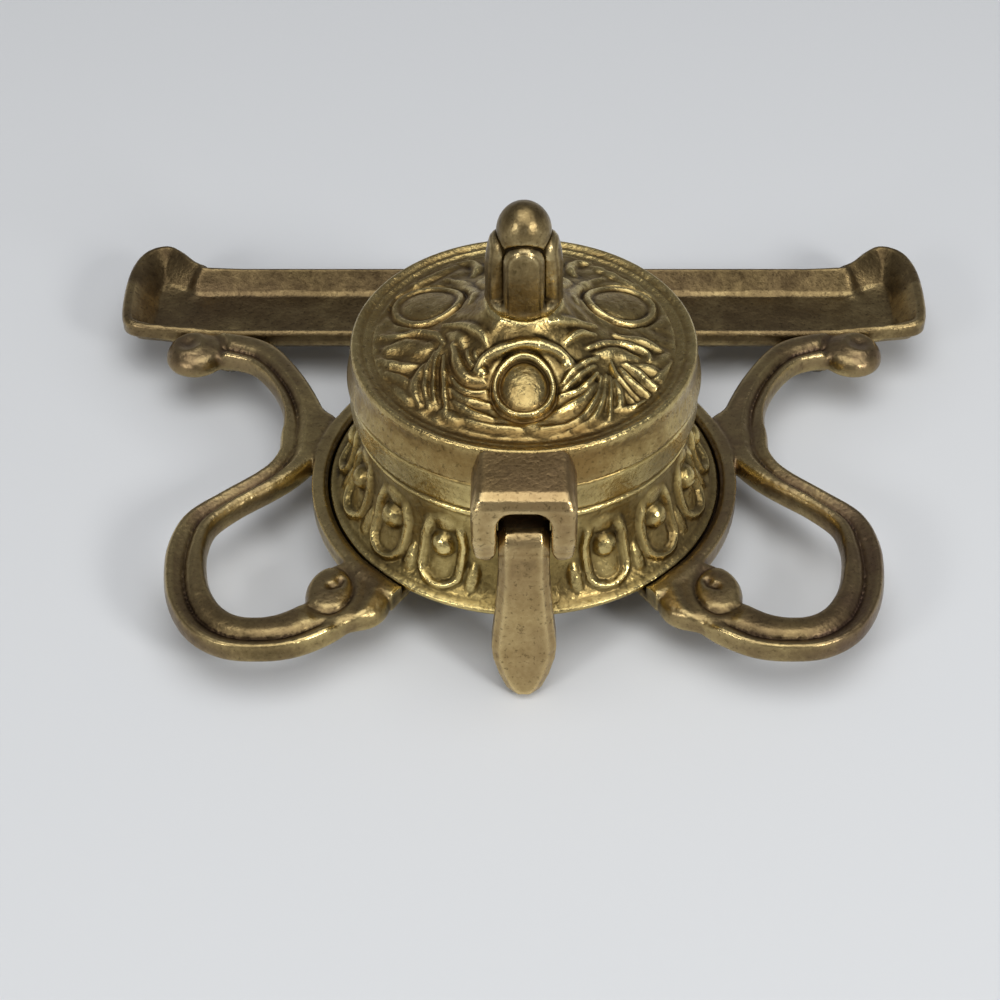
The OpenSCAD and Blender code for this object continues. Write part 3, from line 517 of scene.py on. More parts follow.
def trayField(x, y, z):
    s = traySizes
    ax = np.abs(x)
    depthIn = -trayGapMap(ax, y)
    start = s["halfLength"] - s["flare"] - 2
    toEnd = np.clip((ax - start) / (s["flare"] + 2), 0, 1)
    rim = 12.0 + s["lipRise"] * toEnd ** 1.2
    floorZ = 12.0 - s["depth"]
    back = s["front"] + s["width"]
    lobe = np.hypot(ax - (s["halfLength"] - s["flare"] * 0.364), (y - back - 1.0) * 1.1)
    rim = rim + 0.3 * hump(lobe, 0, 5.0)
    fromFront = np.clip((y - s["front"]) / 6, 0, 1)
    shoulder = 1.2 + 0.9 * rise(ax, 76, 84)
    sweep = 3.0 + 1.2 * fromFront + 1.6 * rise(ax, 70, 82)
    cove = rise(depthIn, shoulder, shoulder + sweep)
    cove = 0.35 * cove + 0.65 * np.clip((depthIn - shoulder) / sweep, 0, 1) ** 0.8
    top = rim + (floorZ - rim) * cove
    # a shallow thumb hollow in each lobe, with a ridge where it meets the back wall
    top = top + 1.2 * hump(lobe, 0, 4.0) * cove
    ridge, _, _ = nearLine(ax, y, [(67.8, 67.0), (69.6, 64.6), (70.6, 62.0)])
    top = top + 0.5 * hump(ridge, 0, 1.5) * rise(depthIn, 0.8, 2.4)
    lip = 0.2 * hump(depthIn, 0.9, 0.7)
    unevenFloor = 0.12 * np.sin(x * 0.31 + 1.3 * np.sin(y * 0.23)) * np.sin(y * 0.42 + 0.8 * np.sin(x * 0.17))
    top = np.minimum(top + lip - 0.15, 13.6) + unevenFloor * cove
    under = (floorZ - s["floor"]) + 1.9 * rise(2.6 - depthIn, 0, 1.6)
    under = under + 1.2 * rise(ax, 68, 78) * rise(y, s["front"] + 9, s["front"] + 1)
    tray = smoothMax(smoothMax(-depthIn, z - top, 1.2), under - z, 0.8)
    # underneath: a boss for each foot, and the tongue that the scroll is screwed to
    boss = smoothMax(np.hypot(ax - s["foot"][0], y - s["foot"][1]) - s["bossR"],
                     np.maximum(s["bossBottom"] - z, z - 7), 0.5)
    x0, x1, y0, y1 = s["tongue"]
    tongue = smoothMax(np.abs(ax - (x0 + x1) / 2) - (x1 - x0) / 2, np.abs(y - (y0 + y1) / 2) - (y1 - y0) / 2, 1.6)
    tongue = smoothMax(tongue, np.abs(z - 7.6) - 0.78, 0.4)
    return np.minimum(smoothMin(tray, boss, 0.8), tongue)


penTray = netSurface("penTray", trayField, (-85.5, 36.5, 4.4), (85.5, 75, 14.6), traySizes["netCell"])
def trayWear(x, y, z):
    # the ends are handled most; the back wall and the front rim keep their brown
    return 0.08 * rise(np.abs(x), 60, 75) - 0.2 * rise(y, 58.5, 61) * (z > 8.8) \
        - 0.14 * rise(46 - y, 0, 0.8) * (z > 10)


markRubAndShade(penTray, gain=0.28, wearAndShade=trayWear)

# the well: a bell-shaped foot with bosses, a bead, and the collar that the lid shuts on
wellSizes = {
    "footR": 36.9, "footTop": 12.6, "footBottom": 10.2, "footEdge": 34.3, "neckR": 30.2, "beadR": 31.2, "beadZ": 29.3,
    "collarBottom": 30.0, "collarR": 31.9, "seamZ": 37.2, "boreR": 24.0, "seatR": 27.4, "seatDepth": 3.4,
    "shelf": 2.2, "wall": 2.8, "turns": 640, "step": 0.33,
    "eggCount": 15, "eggStart": 27.0, "eggBallZ": 20.7, "padHalf": 3.5, "padTop": 26.0, "padY": -33.6, "padDeep": 4.4,
}


def quarter(r0, z0, r1, z1, count=14):
    # Quarter of an ellipse, upright at the first point and level at the last
    a = np.linspace(0, math.pi / 2, count)
    return np.stack([r1 + (r0 - r1) * np.cos(a), z0 + (z1 - z0) * np.sin(a)], 1)


def evenly(profile, step):
    # The same profile with points about one step apart; its corners stay
    out = [profile[0]]
    for a, b in zip(profile[:-1], profile[1:]):
        n = max(1, int(round(np.hypot(*(b - a)) / step)))
        out += [a + (b - a) * k / n for k in range(1, n + 1)]
    return np.array(out)


def turned(name, profile, turns, relief=None):
    # Closed turned body from a closed profile; relief moves its points along their normals
    profile = np.asarray(profile, float)
    n = len(profile)
    a = np.arange(turns) * 2 * math.pi / turns
    r, z = profile[:, 0][:, None], profile[:, 1][:, None]
    after, before = np.roll(profile, -1, 0), np.roll(profile, 1, 0)
    way = after - before
    way /= np.maximum(np.linalg.norm(way, axis=1), 1e-9)[:, None]
    out = np.stack([way[:, 1], -way[:, 0]], 1)                  # outwards when the profile runs upwards outside
    lift = np.zeros((n, turns)) if relief is None else relief(r, z, a[None, :])
    rr = r + out[:, 0][:, None] * lift
    zz = z + out[:, 1][:, None] * lift + 0 * a[None, :]
    points = np.stack([rr * np.cos(a), rr * np.sin(a), zz], -1).reshape(-1, 3)
    i = np.arange(n)[:, None]; j = np.arange(turns)[None, :]
    ip, jp = (i + 1) % n, (j + 1) % turns
    faces = np.stack([i * turns + j, i * turns + jp, ip * turns + jp, ip * turns + j], -1).reshape(-1, 4)
    return makeMesh(name, points, faces)


def fromPoint(r, z, *steps):
    # points given by how far they stand from one place
    return [(r + a, z + b) for a, b in steps]


def wellOutside(s):
    # Outside of the well from the edge of its foot up to the joint with the lid
    bell = quarter(s["neckR"], s["collarBottom"] - 1.6, s["footR"] - 0.45, s["footTop"] - 0.35)[::-1]
    foot = [(s["footEdge"], s["footBottom"]), (s["footR"] - 0.15, 11.2), (s["footR"] - 0.02, 11.5)]
    return np.vstack([
        foot, fromPoint(s["footR"], s["footTop"], (-0.15, -0.6)), bell[1:],
        fromPoint(s["neckR"], s["beadZ"], (0.45, -0.8)),
        fromPoint(s["beadR"], s["beadZ"], (-0.15, -0.4), (0, 0), (-0.15, 0.4)),
        fromPoint(s["neckR"], s["beadZ"], (0.45, 0.7)), fromPoint(s["neckR"], s["collarBottom"], (0.6, 0.4)),
        fromPoint(s["collarR"], s["collarBottom"], (-0.65, 0.7), (-0.25, 1.1), (-0.05, 1.8)),
        fromPoint(s["collarR"], s["seamZ"], (0, -1.2), (-0.06, -0.4), (-0.45, 0))])


def wellInside(s):
    inner, seat = s["neckR"] - s["wall"], s["seamZ"] - s["seatDepth"]
    hollow = quarter(inner, s["collarBottom"] - 4, s["footR"] - 5.5, s["footBottom"], 8)
    return np.vstack([[(s["collarR"] - 0.5, s["seamZ"]), (s["seatR"], s["seamZ"]), (s["seatR"], seat),
                       (s["boreR"], seat), (s["boreR"], seat - s["shelf"]), (inner, seat - s["shelf"])], hollow,
                      [(s["footEdge"], s["footBottom"])]])


def bossPlace(angle):
    # Angle from the nearest boss, in degrees; the bosses start beside the hinge
    s = wellSizes
    fromHinge = (np.degrees(angle) + 90) % 360
    pitch = (360 - 2 * s["eggStart"]) / (s["eggCount"] - 1)
    k = np.clip(np.round((fromHinge - s["eggStart"]) / pitch), 0, s["eggCount"] - 1)
    return fromHinge - s["eggStart"] - k * pitch


def bossShape(u, v):
    # u across in mm, v up in mm from the ball: a ball in a thin cup, over a flat drop, in a broad U-shaped roll
    ball = 2.3 * pebble(u, v + 0.2, 2.45, 2.6)
    low = -5.6
    far = np.where(v > low, np.abs(u), np.hypot(u, (v - low) * 1.05))
    closing = 0.26 * np.clip(v - 0.5, 0, 6)
    # broad band with a fine line near its inner edge
    roll = 1.25 * ridgeAt(far, 3.9 - closing, 1.0) ** 0.6 * rise(v, 6.4, 2.0)
    line = -0.22 * hump(far, 3.5 - closing, 0.16) * rise(v, 5.0, 2.0)
    # a softly rounded tongue under the ball
    drop = 0.55 * pebble(u, v + 5.4, 2.6, 3.2)
    # band and ball run together above in a soft knob
    hood = 0.75 * pebble(u, v - 4.2, 2.8, 2.0)
    # darts between the bosses
    dart = 0.9 * pebble(6.4 - np.abs(u), v + 6.0, 1.5, 3.6)
    lobes = smoothMax(smoothMax(ball, drop, 0.3), smoothMax(hood, smoothMax(roll, dart, 0.5), 0.4), 0.4)
    return smoothMax(lobes, -0.1 + 0 * v, 0.4) + line


def wellRelief(r, z, angle):
    s = wellSizes
    outside = (r > s["neckR"] - 0.01) & (z > s["footTop"] - 0.02) & (z < s["beadZ"] - 0.5)
    off = np.radians(bossPlace(angle)) * (r + 0.8)
    # distance up the flank from the ball's middle
    up = (z - s["eggBallZ"]) + np.where(z < s["eggBallZ"], -(r - 31.2) * 0.55, 0)
    fade = rise(s["footR"] - 0.2 - r, 0, 0.6) * rise(s["beadZ"] - 0.5 - z, 0, 1.2)
    nearHinge = rise(np.abs((np.degrees(angle) + 90 + 180) % 360 - 180), 10, 15)
    return np.where(outside, bossShape(off, up) * fade * nearHinge, 0.0)


def wellToneAndShade(x, y, z):
    # the collar is a little lighter from z 30 up; painted shade darkens the joint under the lid and the edge of the
    # foot
    return 0.1 * rise(z, 30, 32) - 0.4 * rise(z, 36.4, 36.9) - 0.15 * rise(np.hypot(x, y), 36.2, 36.9) * (z < 13)


wellRing = np.vstack([evenly(wellOutside(wellSizes), wellSizes["step"]), evenly(wellInside(wellSizes), 1.6)[1:-1]])
wellBody = turned("wellBody", wellRing, wellSizes["turns"], wellRelief)
markRubAndShade(wellBody, spread=6, wearAndShade=wellToneAndShade)


def padField(x, y, z):
    s = wellSizes
    block = smoothMax(np.abs(x) - s["padHalf"], np.abs(z - (s["padTop"] + s["footBottom"]) / 2)
                      - (s["padTop"] - s["footBottom"]) / 2, 0.8)
    return smoothMax(block, np.abs(y - s["padY"]) - s["padDeep"], 0.8)


legPad = netSurface("legPad", padField, (-5, -39.5, 9), (5, -28, 28), 0.4)
markRubAndShade(legPad)

# the lid: side band, beaded rim, channel, chased dome and hinge fork
lidSizes = {
    "seatR": 32.2, "rimR": 31.0, "seamZ": 37.2, "rimZ": 44.8, "channel": (27.1, 28.8), "ground": 0.35,
    "wall": 2.0, "turns": 540, "step": 0.29, "hingeY": 38.2, "hingeZ": 31.5,
    "medallions": ((-90.0, 16.8, 3.95, 4.5, 1.0), (25.0, 19.4, 4.5, 4.9, 0.6), (155.0, 19.4, 4.5, 4.9, 0.5)),
}
domeCurve = ((2.05, 53.8), (4.05, 53.8), (6.4, 53.7), (7.4, 52.6), (9, 51.0), (12, 49.0), (14.5, 47.7), (17.3, 46.6),
             (20, 45.8), (23, 45.15), (25.4, 44.65), (27.1, 44.3))


def domeHeight(r):
    return np.interp(r, [p[0] for p in domeCurve], [p[1] for p in domeCurve])


def lidOutside(s):
    groove0, groove1 = s["channel"]
    band = softCurve(
        fromPoint(s["seatR"], s["seamZ"], (-0.55, 0.05), (-0.12, 0.3), (-0.02, 0.9), (-0.45, 2.8), (-0.85, 4.6))
        + fromPoint(s["rimR"], s["rimZ"], (0.3, -1.1), (0.14, -0.45), (-0.1, -0.1), (-0.45, 0.04), (-1.0, -0.1),
                    (-1.5, -0.32)) + fromPoint(groove1, s["rimZ"], (0.35, -0.42)), 3)
    channel = softCurve(
        fromPoint(groove1, s["rimZ"], (0.12, -0.36), (-0.15, -0.38), (-0.45, -0.5), (-0.85, -0.62))
        + fromPoint(groove0, s["rimZ"], (0.45, -0.62), (0.1, -0.55)), 3)
    return np.vstack([band, channel, softCurve(domeCurve[::-1], 6)])


def lidInside(s):
    top = domeCurve[0][1] - s["wall"] - 0.6
    under = [(r, min(z - s["wall"], top)) for r, z in domeCurve]
    return np.vstack([[domeCurve[0]], under, [
        (26.6, s["rimZ"] - s["wall"] - 0.4), (s["rimR"] - s["wall"], s["rimZ"] - s["wall"] - 0.4),
        (s["rimR"] - s["wall"] + 0.6, s["seamZ"] + 0.05), (s["seatR"] - 0.55, s["seamZ"] + 0.05)]])


def polarSpot(r, degrees):
    a = math.radians(degrees)
    return r * math.cos(a), r * math.sin(a)


def medallionShape(x, y, angle, r, wide, long, high):
    # Domed button in a raised ring with a groove between and round them
    cx, cy = polarSpot(r, angle)
    c, s = math.cos(math.radians(angle)), math.sin(math.radians(angle))
    out, across = (x - cx) * c + (y - cy) * s, -(x - cx) * s + (y - cy) * c
    far = np.sqrt((across / wide) ** 2 + (out / long) ** 2)
    button = 1.75 * high * np.clip(1 - (far / 1.08) ** 2, 0, 1) ** 0.42
    ring = 1.4 * high * ridgeAt(far, 1.26, 0.14) ** 0.35
    moat = -0.2 * hump(far, 1.5, 0.07)
    return np.maximum(np.maximum(button, ring), 0.6 * high * (far < 1.3)) + moat, far


def band(x, y, points, width, height, taper=(0.45, 0.45), keel=0.0):
    # Raised rounded band along a curve; its ends thin out, and a keel sharpens its crest
    line = softCurve(points, 6)
    gap, _, along = nearLine(x, y, line)
    share = along / (len(line) - 1)
    half = width / 2 * (1 - taper[0] * (1 - rise(share, 0, 0.35))) * (1 - taper[1] * rise(share, 0.65, 1))
    part = np.clip(gap / half, 0, 1)
    shape = np.sqrt(1 - part ** 2) * (1 - keel) + keel * (1 - part) ** 1.2
    return height * shape * (half * 2 / width) ** 0.5


# bands on the dome's front half, seen from above: x to the right, y towards the tray; then width, height, keel
frontBands = [
    ([(-14.2, -0.4), (-11.4, -1.9), (-8.7, -4.6), (-7.0, -6.6), (-6.2, -8.8)], 2.0, 1.15, 0.3),
    ([(-12.4, -6.2), (-11.9, -9.2), (-10.9, -12.0), (-9.4, -13.9), (-7.0, -14.8)], 2.6, 1.35, 0.1),
    ([(-9.9, -8.2), (-9.3, -10.6), (-8.2, -12.4)], 1.6, 1.0, 0.3),
    ([(-8.6, -8.9), (-8.1, -10.7), (-7.6, -11.8)], 1.3, 1.0, 0.3),
    ([(-12.6, -13.2), (-11.4, -15.4), (-10.2, -16.5), (-8.6, -17.1), (-6.4, -16.9)], 1.7, 1.25, 0.3),
    ([(-12.8, -15.6), (-11.2, -17.6), (-9.4, -18.9), (-6.0, -19.7)], 2.3, 1.2, 0.1),
    ([(-12.2, -18.5), (-10.2, -20.4), (-8.3, -21.9), (-5.2, -23.0)], 2.2, 1.25, 0.2),
    ([(-11.8, -21.0), (-9.8, -22.8), (-7.4, -24.0), (-4.2, -24.7), (0.0, -25.1)], 1.6, 1.1, 0.25),
    ([(-14.7, -5.4), (-15.4, -8.5), (-15.7, -12.5), (-15.6, -16.5), (-15.0, -19.6)], 1.4, 1.2, 0.3),
    ([(-15.6, -6.4), (-16.6, -9.5), (-17.1, -13.0), (-17.0, -16.2), (-16.2, -19.4)], 1.8, 1.25, 0.2),
    ([(-17.4, -9.2), (-18.7, -12.4), (-19.0, -15.2), (-18.0, -18.4)], 2.5, 1.3, 0.1),
    ([(-14.1, -8.0), (-13.9, -12.5), (-13.6, -16.5), (-13.3, -21.0)], 2.0, 1.3, 0.3),
    ([(-14.0, -20.6), (-12.2, -22.2), (-10.6, -22.8)], 2.6, 0.9, 0.0),
    ([(-25.2, -6.3), (-23.4, -7.6), (-21.2, -8.7), (-19.0, -9.0)], 2.7, 1.05, 0.2),
    ([(-23.9, -9.9), (-22.1, -11.4), (-20.6, -12.9), (-20.2, -14.6)], 2.7, 1.05, 0.2),
    ([(-22.6, -13.0), (-20.8, -15.6), (-19.4, -17.8)], 2.2, 0.85, 0.1),
    ([(-24.2, -3.2), (-21.0, -3.4), (-18.0, -4.8), (-16.4, -6.8)], 4.6, 1.05, 0.0),
    ([(-25.6, 0.6), (-22.6, -0.3), (-18.6, -0.2), (-15.6, -2.2), (-14.2, -4.8)], 1.7, 0.95, 0.1),
    ([(-13.2, -3.2), (-11.8, -4.6), (-10.6, -7.0)], 2.6, 0.75, 0.0),
    ([(4.3, -5.6), (6.6, -4.2), (9.0, -2.9), (12.6, -1.5)], 1.9, 1.1, 0.2),
    ([(7.0, -8.0), (8.4, -6.2), (10.0, -4.7), (12.4, -3.7)], 1.6, 1.25, 0.3),
    ([(10.4, -7.6), (12.8, -6.0), (15.0, -4.8), (17.6, -4.0), (20.4, -4.2), (22.0, -5.4), (22.2, -7.2)],
     1.8, 1.15, 0.2),
    ([(13.0, -7.9), (16.2, -6.8), (19.8, -6.8)], 3.4, 1.05, 0.0),
    ([(16.2, -2.0), (19.0, -2.4), (21.6, -2.4), (24.4, -3.4)], 2.6, 1.1, 0.0),
    ([(22.6, -8.6), (24.2, -6.8), (25.4, -4.4)], 2.8, 0.85, 0.0),
    ([(19.4, -8.8), (22.4, -9.2), (23.8, -10.2)], 2.4, 0.95, 0.0),
    ([(12.8, -8.8), (10.2, -10.9), (8.2, -13.0), (6.8, -15.2)], 1.6, 1.35, 0.3),
    ([(12.4, -10.6), (10.2, -12.6), (8.4, -14.7), (6.9, -16.4)], 1.4, 1.2, 0.3),
    ([(12.7, -12.2), (10.9, -15.0), (8.9, -16.9), (6.1, -18.0)], 1.6, 1.3, 0.2),
    ([(12.5, -14.6), (10.8, -17.2), (8.9, -19.2), (5.9, -21.2)], 2.2, 1.15, 0.1),
    ([(13.4, -12.8), (12.8, -16.6), (11.4, -20.0), (9.4, -22.8), (6.6, -24.4), (3.0, -24.9)], 1.5, 1.3, 0.3),
    ([(14.3, -12.2), (13.9, -16.0), (13.1, -19.6), (11.3, -22.8), (7.4, -25.4)], 1.7, 1.2, 0.3),
    ([(15.0, -12.4), (15.0, -16.5), (14.7, -22.0)], 1.3, 1.2, 0.3),
    ([(15.7, -13.4), (16.6, -16.4), (16.4, -19.6)], 2.1, 1.25, 0.0),
    ([(15.2, -8.9), (15.8, -11.6), (17.5, -14.2), (19.8, -17.0)], 1.4, 1.3, 0.3),
    ([(16.9, -14.6), (18.0, -16.6), (19.2, -18.2)], 1.2, 1.15, 0.3),
    ([(16.8, -10.4), (18.8, -13.2), (22.2, -16.2)], 2.0, 1.3, 0.1),
    ([(17.8, -9.0), (20.2, -10.6), (21.8, -12.8), (23.8, -14.0)], 2.0, 1.2, 0.1),
    ([(15.4, -19.9), (17.9, -19.3), (20.6, -17.9), (22.8, -15.9)], 1.3, 1.0, 0.2),
    ([(21.2, -13.0), (23.2, -11.4), (25.0, -8.6), (26.2, -6.0)], 1.4, 1.0, 0.3),
]
frontArch = [(-8.0, -12.9), (-6.9, -11.0), (-4.7, -10.0), (-1.8, -9.6), (1.0, -9.3), (3.4, -9.3), (5.9, -9.8),
             (7.6, -11.0)]
archEnds = ((-7.4, -13.2), (7.6, -11.4))
darkPocket = [(10.6, -5.6), (10.2, -7.4), (9.2, -9.4)]
# the same kind of leaves behind the finial, for one side; they stand mirrored
rearBands = [
    ([(2.4, 8.4), (5.8, 8.6), (7.8, 11.4), (6.4, 14.6), (3.6, 14.4)], 2.8, 1.2, 0.15),
    ([(4.6, 10.6), (5.4, 12.0), (4.6, 13.0)], 1.8, 1.0, 0.1),
    ([(9.4, 17.2), (8.6, 19.8), (9.8, 22.6), (12.4, 22.8)], 2.6, 1.1, 0.2),
    ([(6.6, 15.8), (6.2, 20.0), (7.2, 24.4)], 2.6, 1.1, 0.3),
    ([(0.0, 16.0), (1.6, 20.4), (1.8, 25.2)], 2.6, 1.15, 0.3),
    ([(2.2, 15.6), (4.0, 19.6), (4.6, 24.8)], 2.4, 1.1, 0.3),
    ([(9.4, 3.4), (8.8, 6.6), (9.6, 10.4), (11.6, 14.4), (14.4, 16.8)], 2.4, 0.9, 0.1),
    ([(12.6, 21.6), (16.2, 19.0), (20.2, 16.0)], 2.6, 0.9, 0.1),
]


def domeRelief(x, y):
    lift = np.zeros(x.shape)
    for bands, across in ((frontBands, x), (rearBands, np.abs(x))):
        for points, width, height, keel in bands:
            lift = smoothMax(lift, band(across, y, points, width, height, keel=keel), 0.12)
    lift = lift - band(x, y, darkPocket, 1.6, 0.7)
    lift = smoothMax(lift, lidSizes["ground"] + 0 * x, 0.5)
    # the cast ground is never quite level
    lift = lift + 0.16 * np.sin(0.9 * x + 1.7 * np.sin(0.5 * y)) * np.sin(0.8 * y + 1.1 * np.sin(0.6 * x))
    lift = np.maximum(lift, band(x, y, frontArch, 2.5, 1.6, (0.1, 0.1), 0.1))
    for cx, cy in archEnds:
        lift = np.maximum(lift, 1.55 * np.sqrt(np.clip(1 - ((x - cx) ** 2 + (y - cy) ** 2) / 2.0, 0, 1)))
    for place in lidSizes["medallions"]:
        medal, far = medallionShape(x, y, *place)
        lift = np.where(far < 1.5, medal, lift + np.where(far < 1.8, np.minimum(medal, 0), 0))
    return lift


domeMap = FlatMap(-27, -27, 27, 27, 0.13, domeRelief, wear=3)


def lidRelief(r, z, angle):
    x, y = r * np.cos(angle), r * np.sin(angle)
    s = lidSizes
    onDome = (z > domeHeight(r) - 0.8) & (r < s["channel"][0] + 0.4) & (r > 6.2)
    fade = rise(s["channel"][0] + 0.3 - r, 0, 0.5) * rise(r, 6.4, 7.6)
    return np.where(onDome, (1.1 * domeMap(x, y) - s["ground"]) * fade, 0.0)


def lidWearAndPaintedLight(x, y, z):
    # the side band and the rim are a little rubbed; painted light brightens the channel at the sides and back, and
    # painted shade darkens the groove inside it at the front
    r = np.hypot(x, y)
    return 0.05 * rise(r, 28.6, 29.2) + 0.16 * hump(r, 27.9, 0.9) * rise(y, -18, 0) \
        - 0.12 * hump(r, 26.2, 0.8) * rise(-y, 14, 22)


lidRing = np.vstack([evenly(lidOutside(lidSizes), lidSizes["step"]), evenly(lidInside(lidSizes), 1.6)[1:-1]])
lidShell = turned("lidShell", lidRing, lidSizes["turns"], lidRelief)
markRubAndShade(lidShell, spread=8, wearAndShade=lidWearAndPaintedLight)

# the lid's fork, which straddles the knuckle: its outline from the side as (y, z), and half of it from behind as (x, z)
forkSizes = {
    "side": [(-30.2, 44.7), (-36.6, 44.1), (-39.8, 43.7), (-41.2, 42.9), (-42.1, 41.4), (-42.5, 39.0), (-42.4, 34.0),
             (-41.8, 31.5), (-34.6, 31.5), (-33.9, 38.4), (-30.2, 39.2)],
    "behind": [(7.5, 45.6), (8.95, 40.8), (8.95, 33.5), (8.5, 29.6), (7.6, 28.1), (6.6, 27.6)],
    "earR": 3.6, "slotHalf": 4.65, "slotSplay": 0.3, "slotTop": 40.6, "slotRound": 3.4, "slotY": -32.2, "netCell": 0.27,
}
sideStep = 0.15


def forkSide(y, z):
    ear = np.hypot(y + lidSizes["hingeY"], z - lidSizes["hingeZ"]) - forkSizes["earR"]
    return np.minimum(outlineGap(y, z, forkSizes["side"]), ear)


forkSideMap = FlatMap(-44, 24, -26, 48, sideStep, forkSide)
forkFrontMap = FlatMap(-12, 24, 12, 48, sideStep, lambda x, z: outlineGap(x, z, mirrored(forkSizes["behind"])))


def forkField(x, y, z):
    s = forkSizes
    solid = smoothMax(forkSideMap(y, z), forkFrontMap(x, z), 1.5)
    half = s["slotHalf"] + s["slotSplay"] * np.clip(lidSizes["hingeZ"] - z, 0, 4)
    slot = smoothMax(smoothMax(np.abs(x) - half, z - s["slotTop"], s["slotRound"]), y - s["slotY"], 0.6)
    return smoothMax(solid, -slot, 0.8)


hingeFork = netSurface("hingeFork", forkField, (-10, -43, 26.5), (10, -29, 46), forkSizes["netCell"])


def forkPaintedShade(x, y, z):
    # painted shade: dark inside the slot, and the top plate darker back to where it meets the lid
    return -0.9 * rise(y, -41.4, -40.2) * (np.abs(x) < 6.2) * (z < 41.2) - 0.2 * rise(y, -40.4, -39.2) * (z > 42)


markRubAndShade(hingeFork, spread=8, wearAndShade=forkPaintedShade)

# the bud finial: a round-topped bud in four leaves, on a rolled foot
finialSizes = {"seatZ": 53.8, "topZ": 73.8, "budR": 4.85, "footR": 6.7, "sepalTop": 68.0, "sepalHalf": 3.55,
               "leafOut": 6.85, "netCell": 0.22}


def finialField(x, y, z):
    s = finialSizes
    r = np.hypot(x, y)
    domeTop = s["topZ"] - 5.5
    bud = np.where(z > domeTop, np.hypot(r, (z - domeTop) * s["budR"] / 5.45), r) - s["budR"] + 0.03
    bud = np.maximum(bud, s["seatZ"] + 0.4 - z)
    # foot: a rounded roll, uneven from the chasing round it
    turn = np.arctan2(y, x)
    footR = s["footR"] - 1.25 + 0.18 * np.cos(8 * turn)
    foot = np.hypot(np.maximum(r - footR, 0), (z - s["seatZ"] - 1.0) * 1.05) - 1.25
    # four smooth leaves with arched tops that lean in to the bud
    quarterTurn = math.pi / 2
    local = (turn + quarterTurn / 2) % quarterTurn - quarterTurn / 2
    across = r * np.sin(local); out = r * np.cos(local)
    spring = s["sepalTop"] - s["sepalHalf"]
    arch = np.where(z > spring, np.hypot(across, z - spring), np.abs(across)) - s["sepalHalf"]
    lean = s["leafOut"] - 0.105 * across ** 2 - 1.25 * np.clip((z - 61.0) / 7.0, 0, 1) ** 2 \
        - 0.55 * rise(arch, -1.3, 0.1) ** 2 * rise(z, 58, 62)
    leaf = smoothMax(smoothMax(arch, out - lean, 0.6), 3.6 - out, 0.3)
    leaf = np.maximum(leaf, s["seatZ"] + 0.6 - z)
    # a fine line just inside each leaf's edge
    line = 0.1 * hump(arch, -0.7, 0.22)
    seam = 0.25 * hump(arch, 0.2, 0.2) * rise(z, 56, 58)
    return smoothMin(smoothMin(bud + seam, leaf + line, 0.12), foot, 0.6)


finialBud = netSurface("finialBud", finialField, (-7.6, -7.6, 53.2), (7.6, 7.6, 74.4), finialSizes["netCell"])
markRubAndShade(finialBud, spread=8, wearAndShade=lambda x, y, z: -0.14 + 0 * z)          # a little browner than the lid

# the leg behind the well, with the knuckle that the lid turns on
legSizes = {"reach": 46.6, "thick": 4.6, "half": 5.7, "topHalf": 4.4, "hingeY": 38.2, "hingeZ": 31.5, "knuckleR": 4.4,
            "crease": 9.0, "bevel": 1.35, "netCell": 0.27}


def legSide(y, z):
    s = legSizes
    bar = outlineGap(y, z, [
        (-s["hingeY"] - s["knuckleR"], s["hingeZ"]), (-s["reach"] + 2, s["crease"]), (-s["reach"], 1.2),
        (-s["reach"] + 0.6, 0), (-s["reach"] + s["thick"] - 1, 0), (-s["reach"] + s["thick"], 2),
        (-s["hingeY"] + 0.2, s["crease"]), (-s["hingeY"] + 0.2, s["hingeZ"] - 3),
        (-s["hingeY"] + s["knuckleR"], s["hingeZ"])])
    return smoothMin(bar, np.hypot(y + s["hingeY"], z - s["hingeZ"]) - s["knuckleR"], 0.5)


def legFront(x, z):
    s = legSizes
    t, h = s["topHalf"], s["half"]
    return outlineGap(x, z, mirrored([
        (t, 36.5), (t, 26.5), (t + 0.4, 20), (h, 10), (h - 0.25, 7.6), (h - 1.3, 4.4), (h - 2.5, 1.9), (h - 4.1, 0)]))


legSideMap = FlatMap(-49, -1, -31, 38, sideStep, legSide)
legFrontMap = FlatMap(-7, -1, 7, 38, sideStep, legFront)


def legField(x, y, z):
    return chamferMax(legSideMap(y, z), legFrontMap(x, z), legSizes["bevel"])


rearLeg = netSurface("rearLeg", legField, (-6.6, -48, -0.6), (6.6, -32, 37), legSizes["netCell"])
# its foot is filed flat on the table
spots = np.zeros(len(rearLeg.data.vertices) * 3); rearLeg.data.vertices.foreach_get("co", spots)
spots[2::3] = np.maximum(spots[2::3], 0.0)
rearLeg.data.vertices.foreach_set("co", spots)
# painted shade: the back of the knuckle's top and its sides, inside the fork, are darkened
markRubAndShade(rearLeg, spread=8, wearAndShade=lambda x, y, z: -0.95 * rise(y, -39.9, -38.9) * (z > 29)
        - 0.5 * rise(np.abs(x), 4.2, 4.5) * (z > 24))

# slotted screws: one tree makes the head with its slot and the shank, and sets one at each place
screwSizes = {"headR": 1.9, "headH": 1.0, "bevel": 0.3, "shankR": 1.0, "slotW": 0.5, "slotDeep": 0.45, "seed": 7}


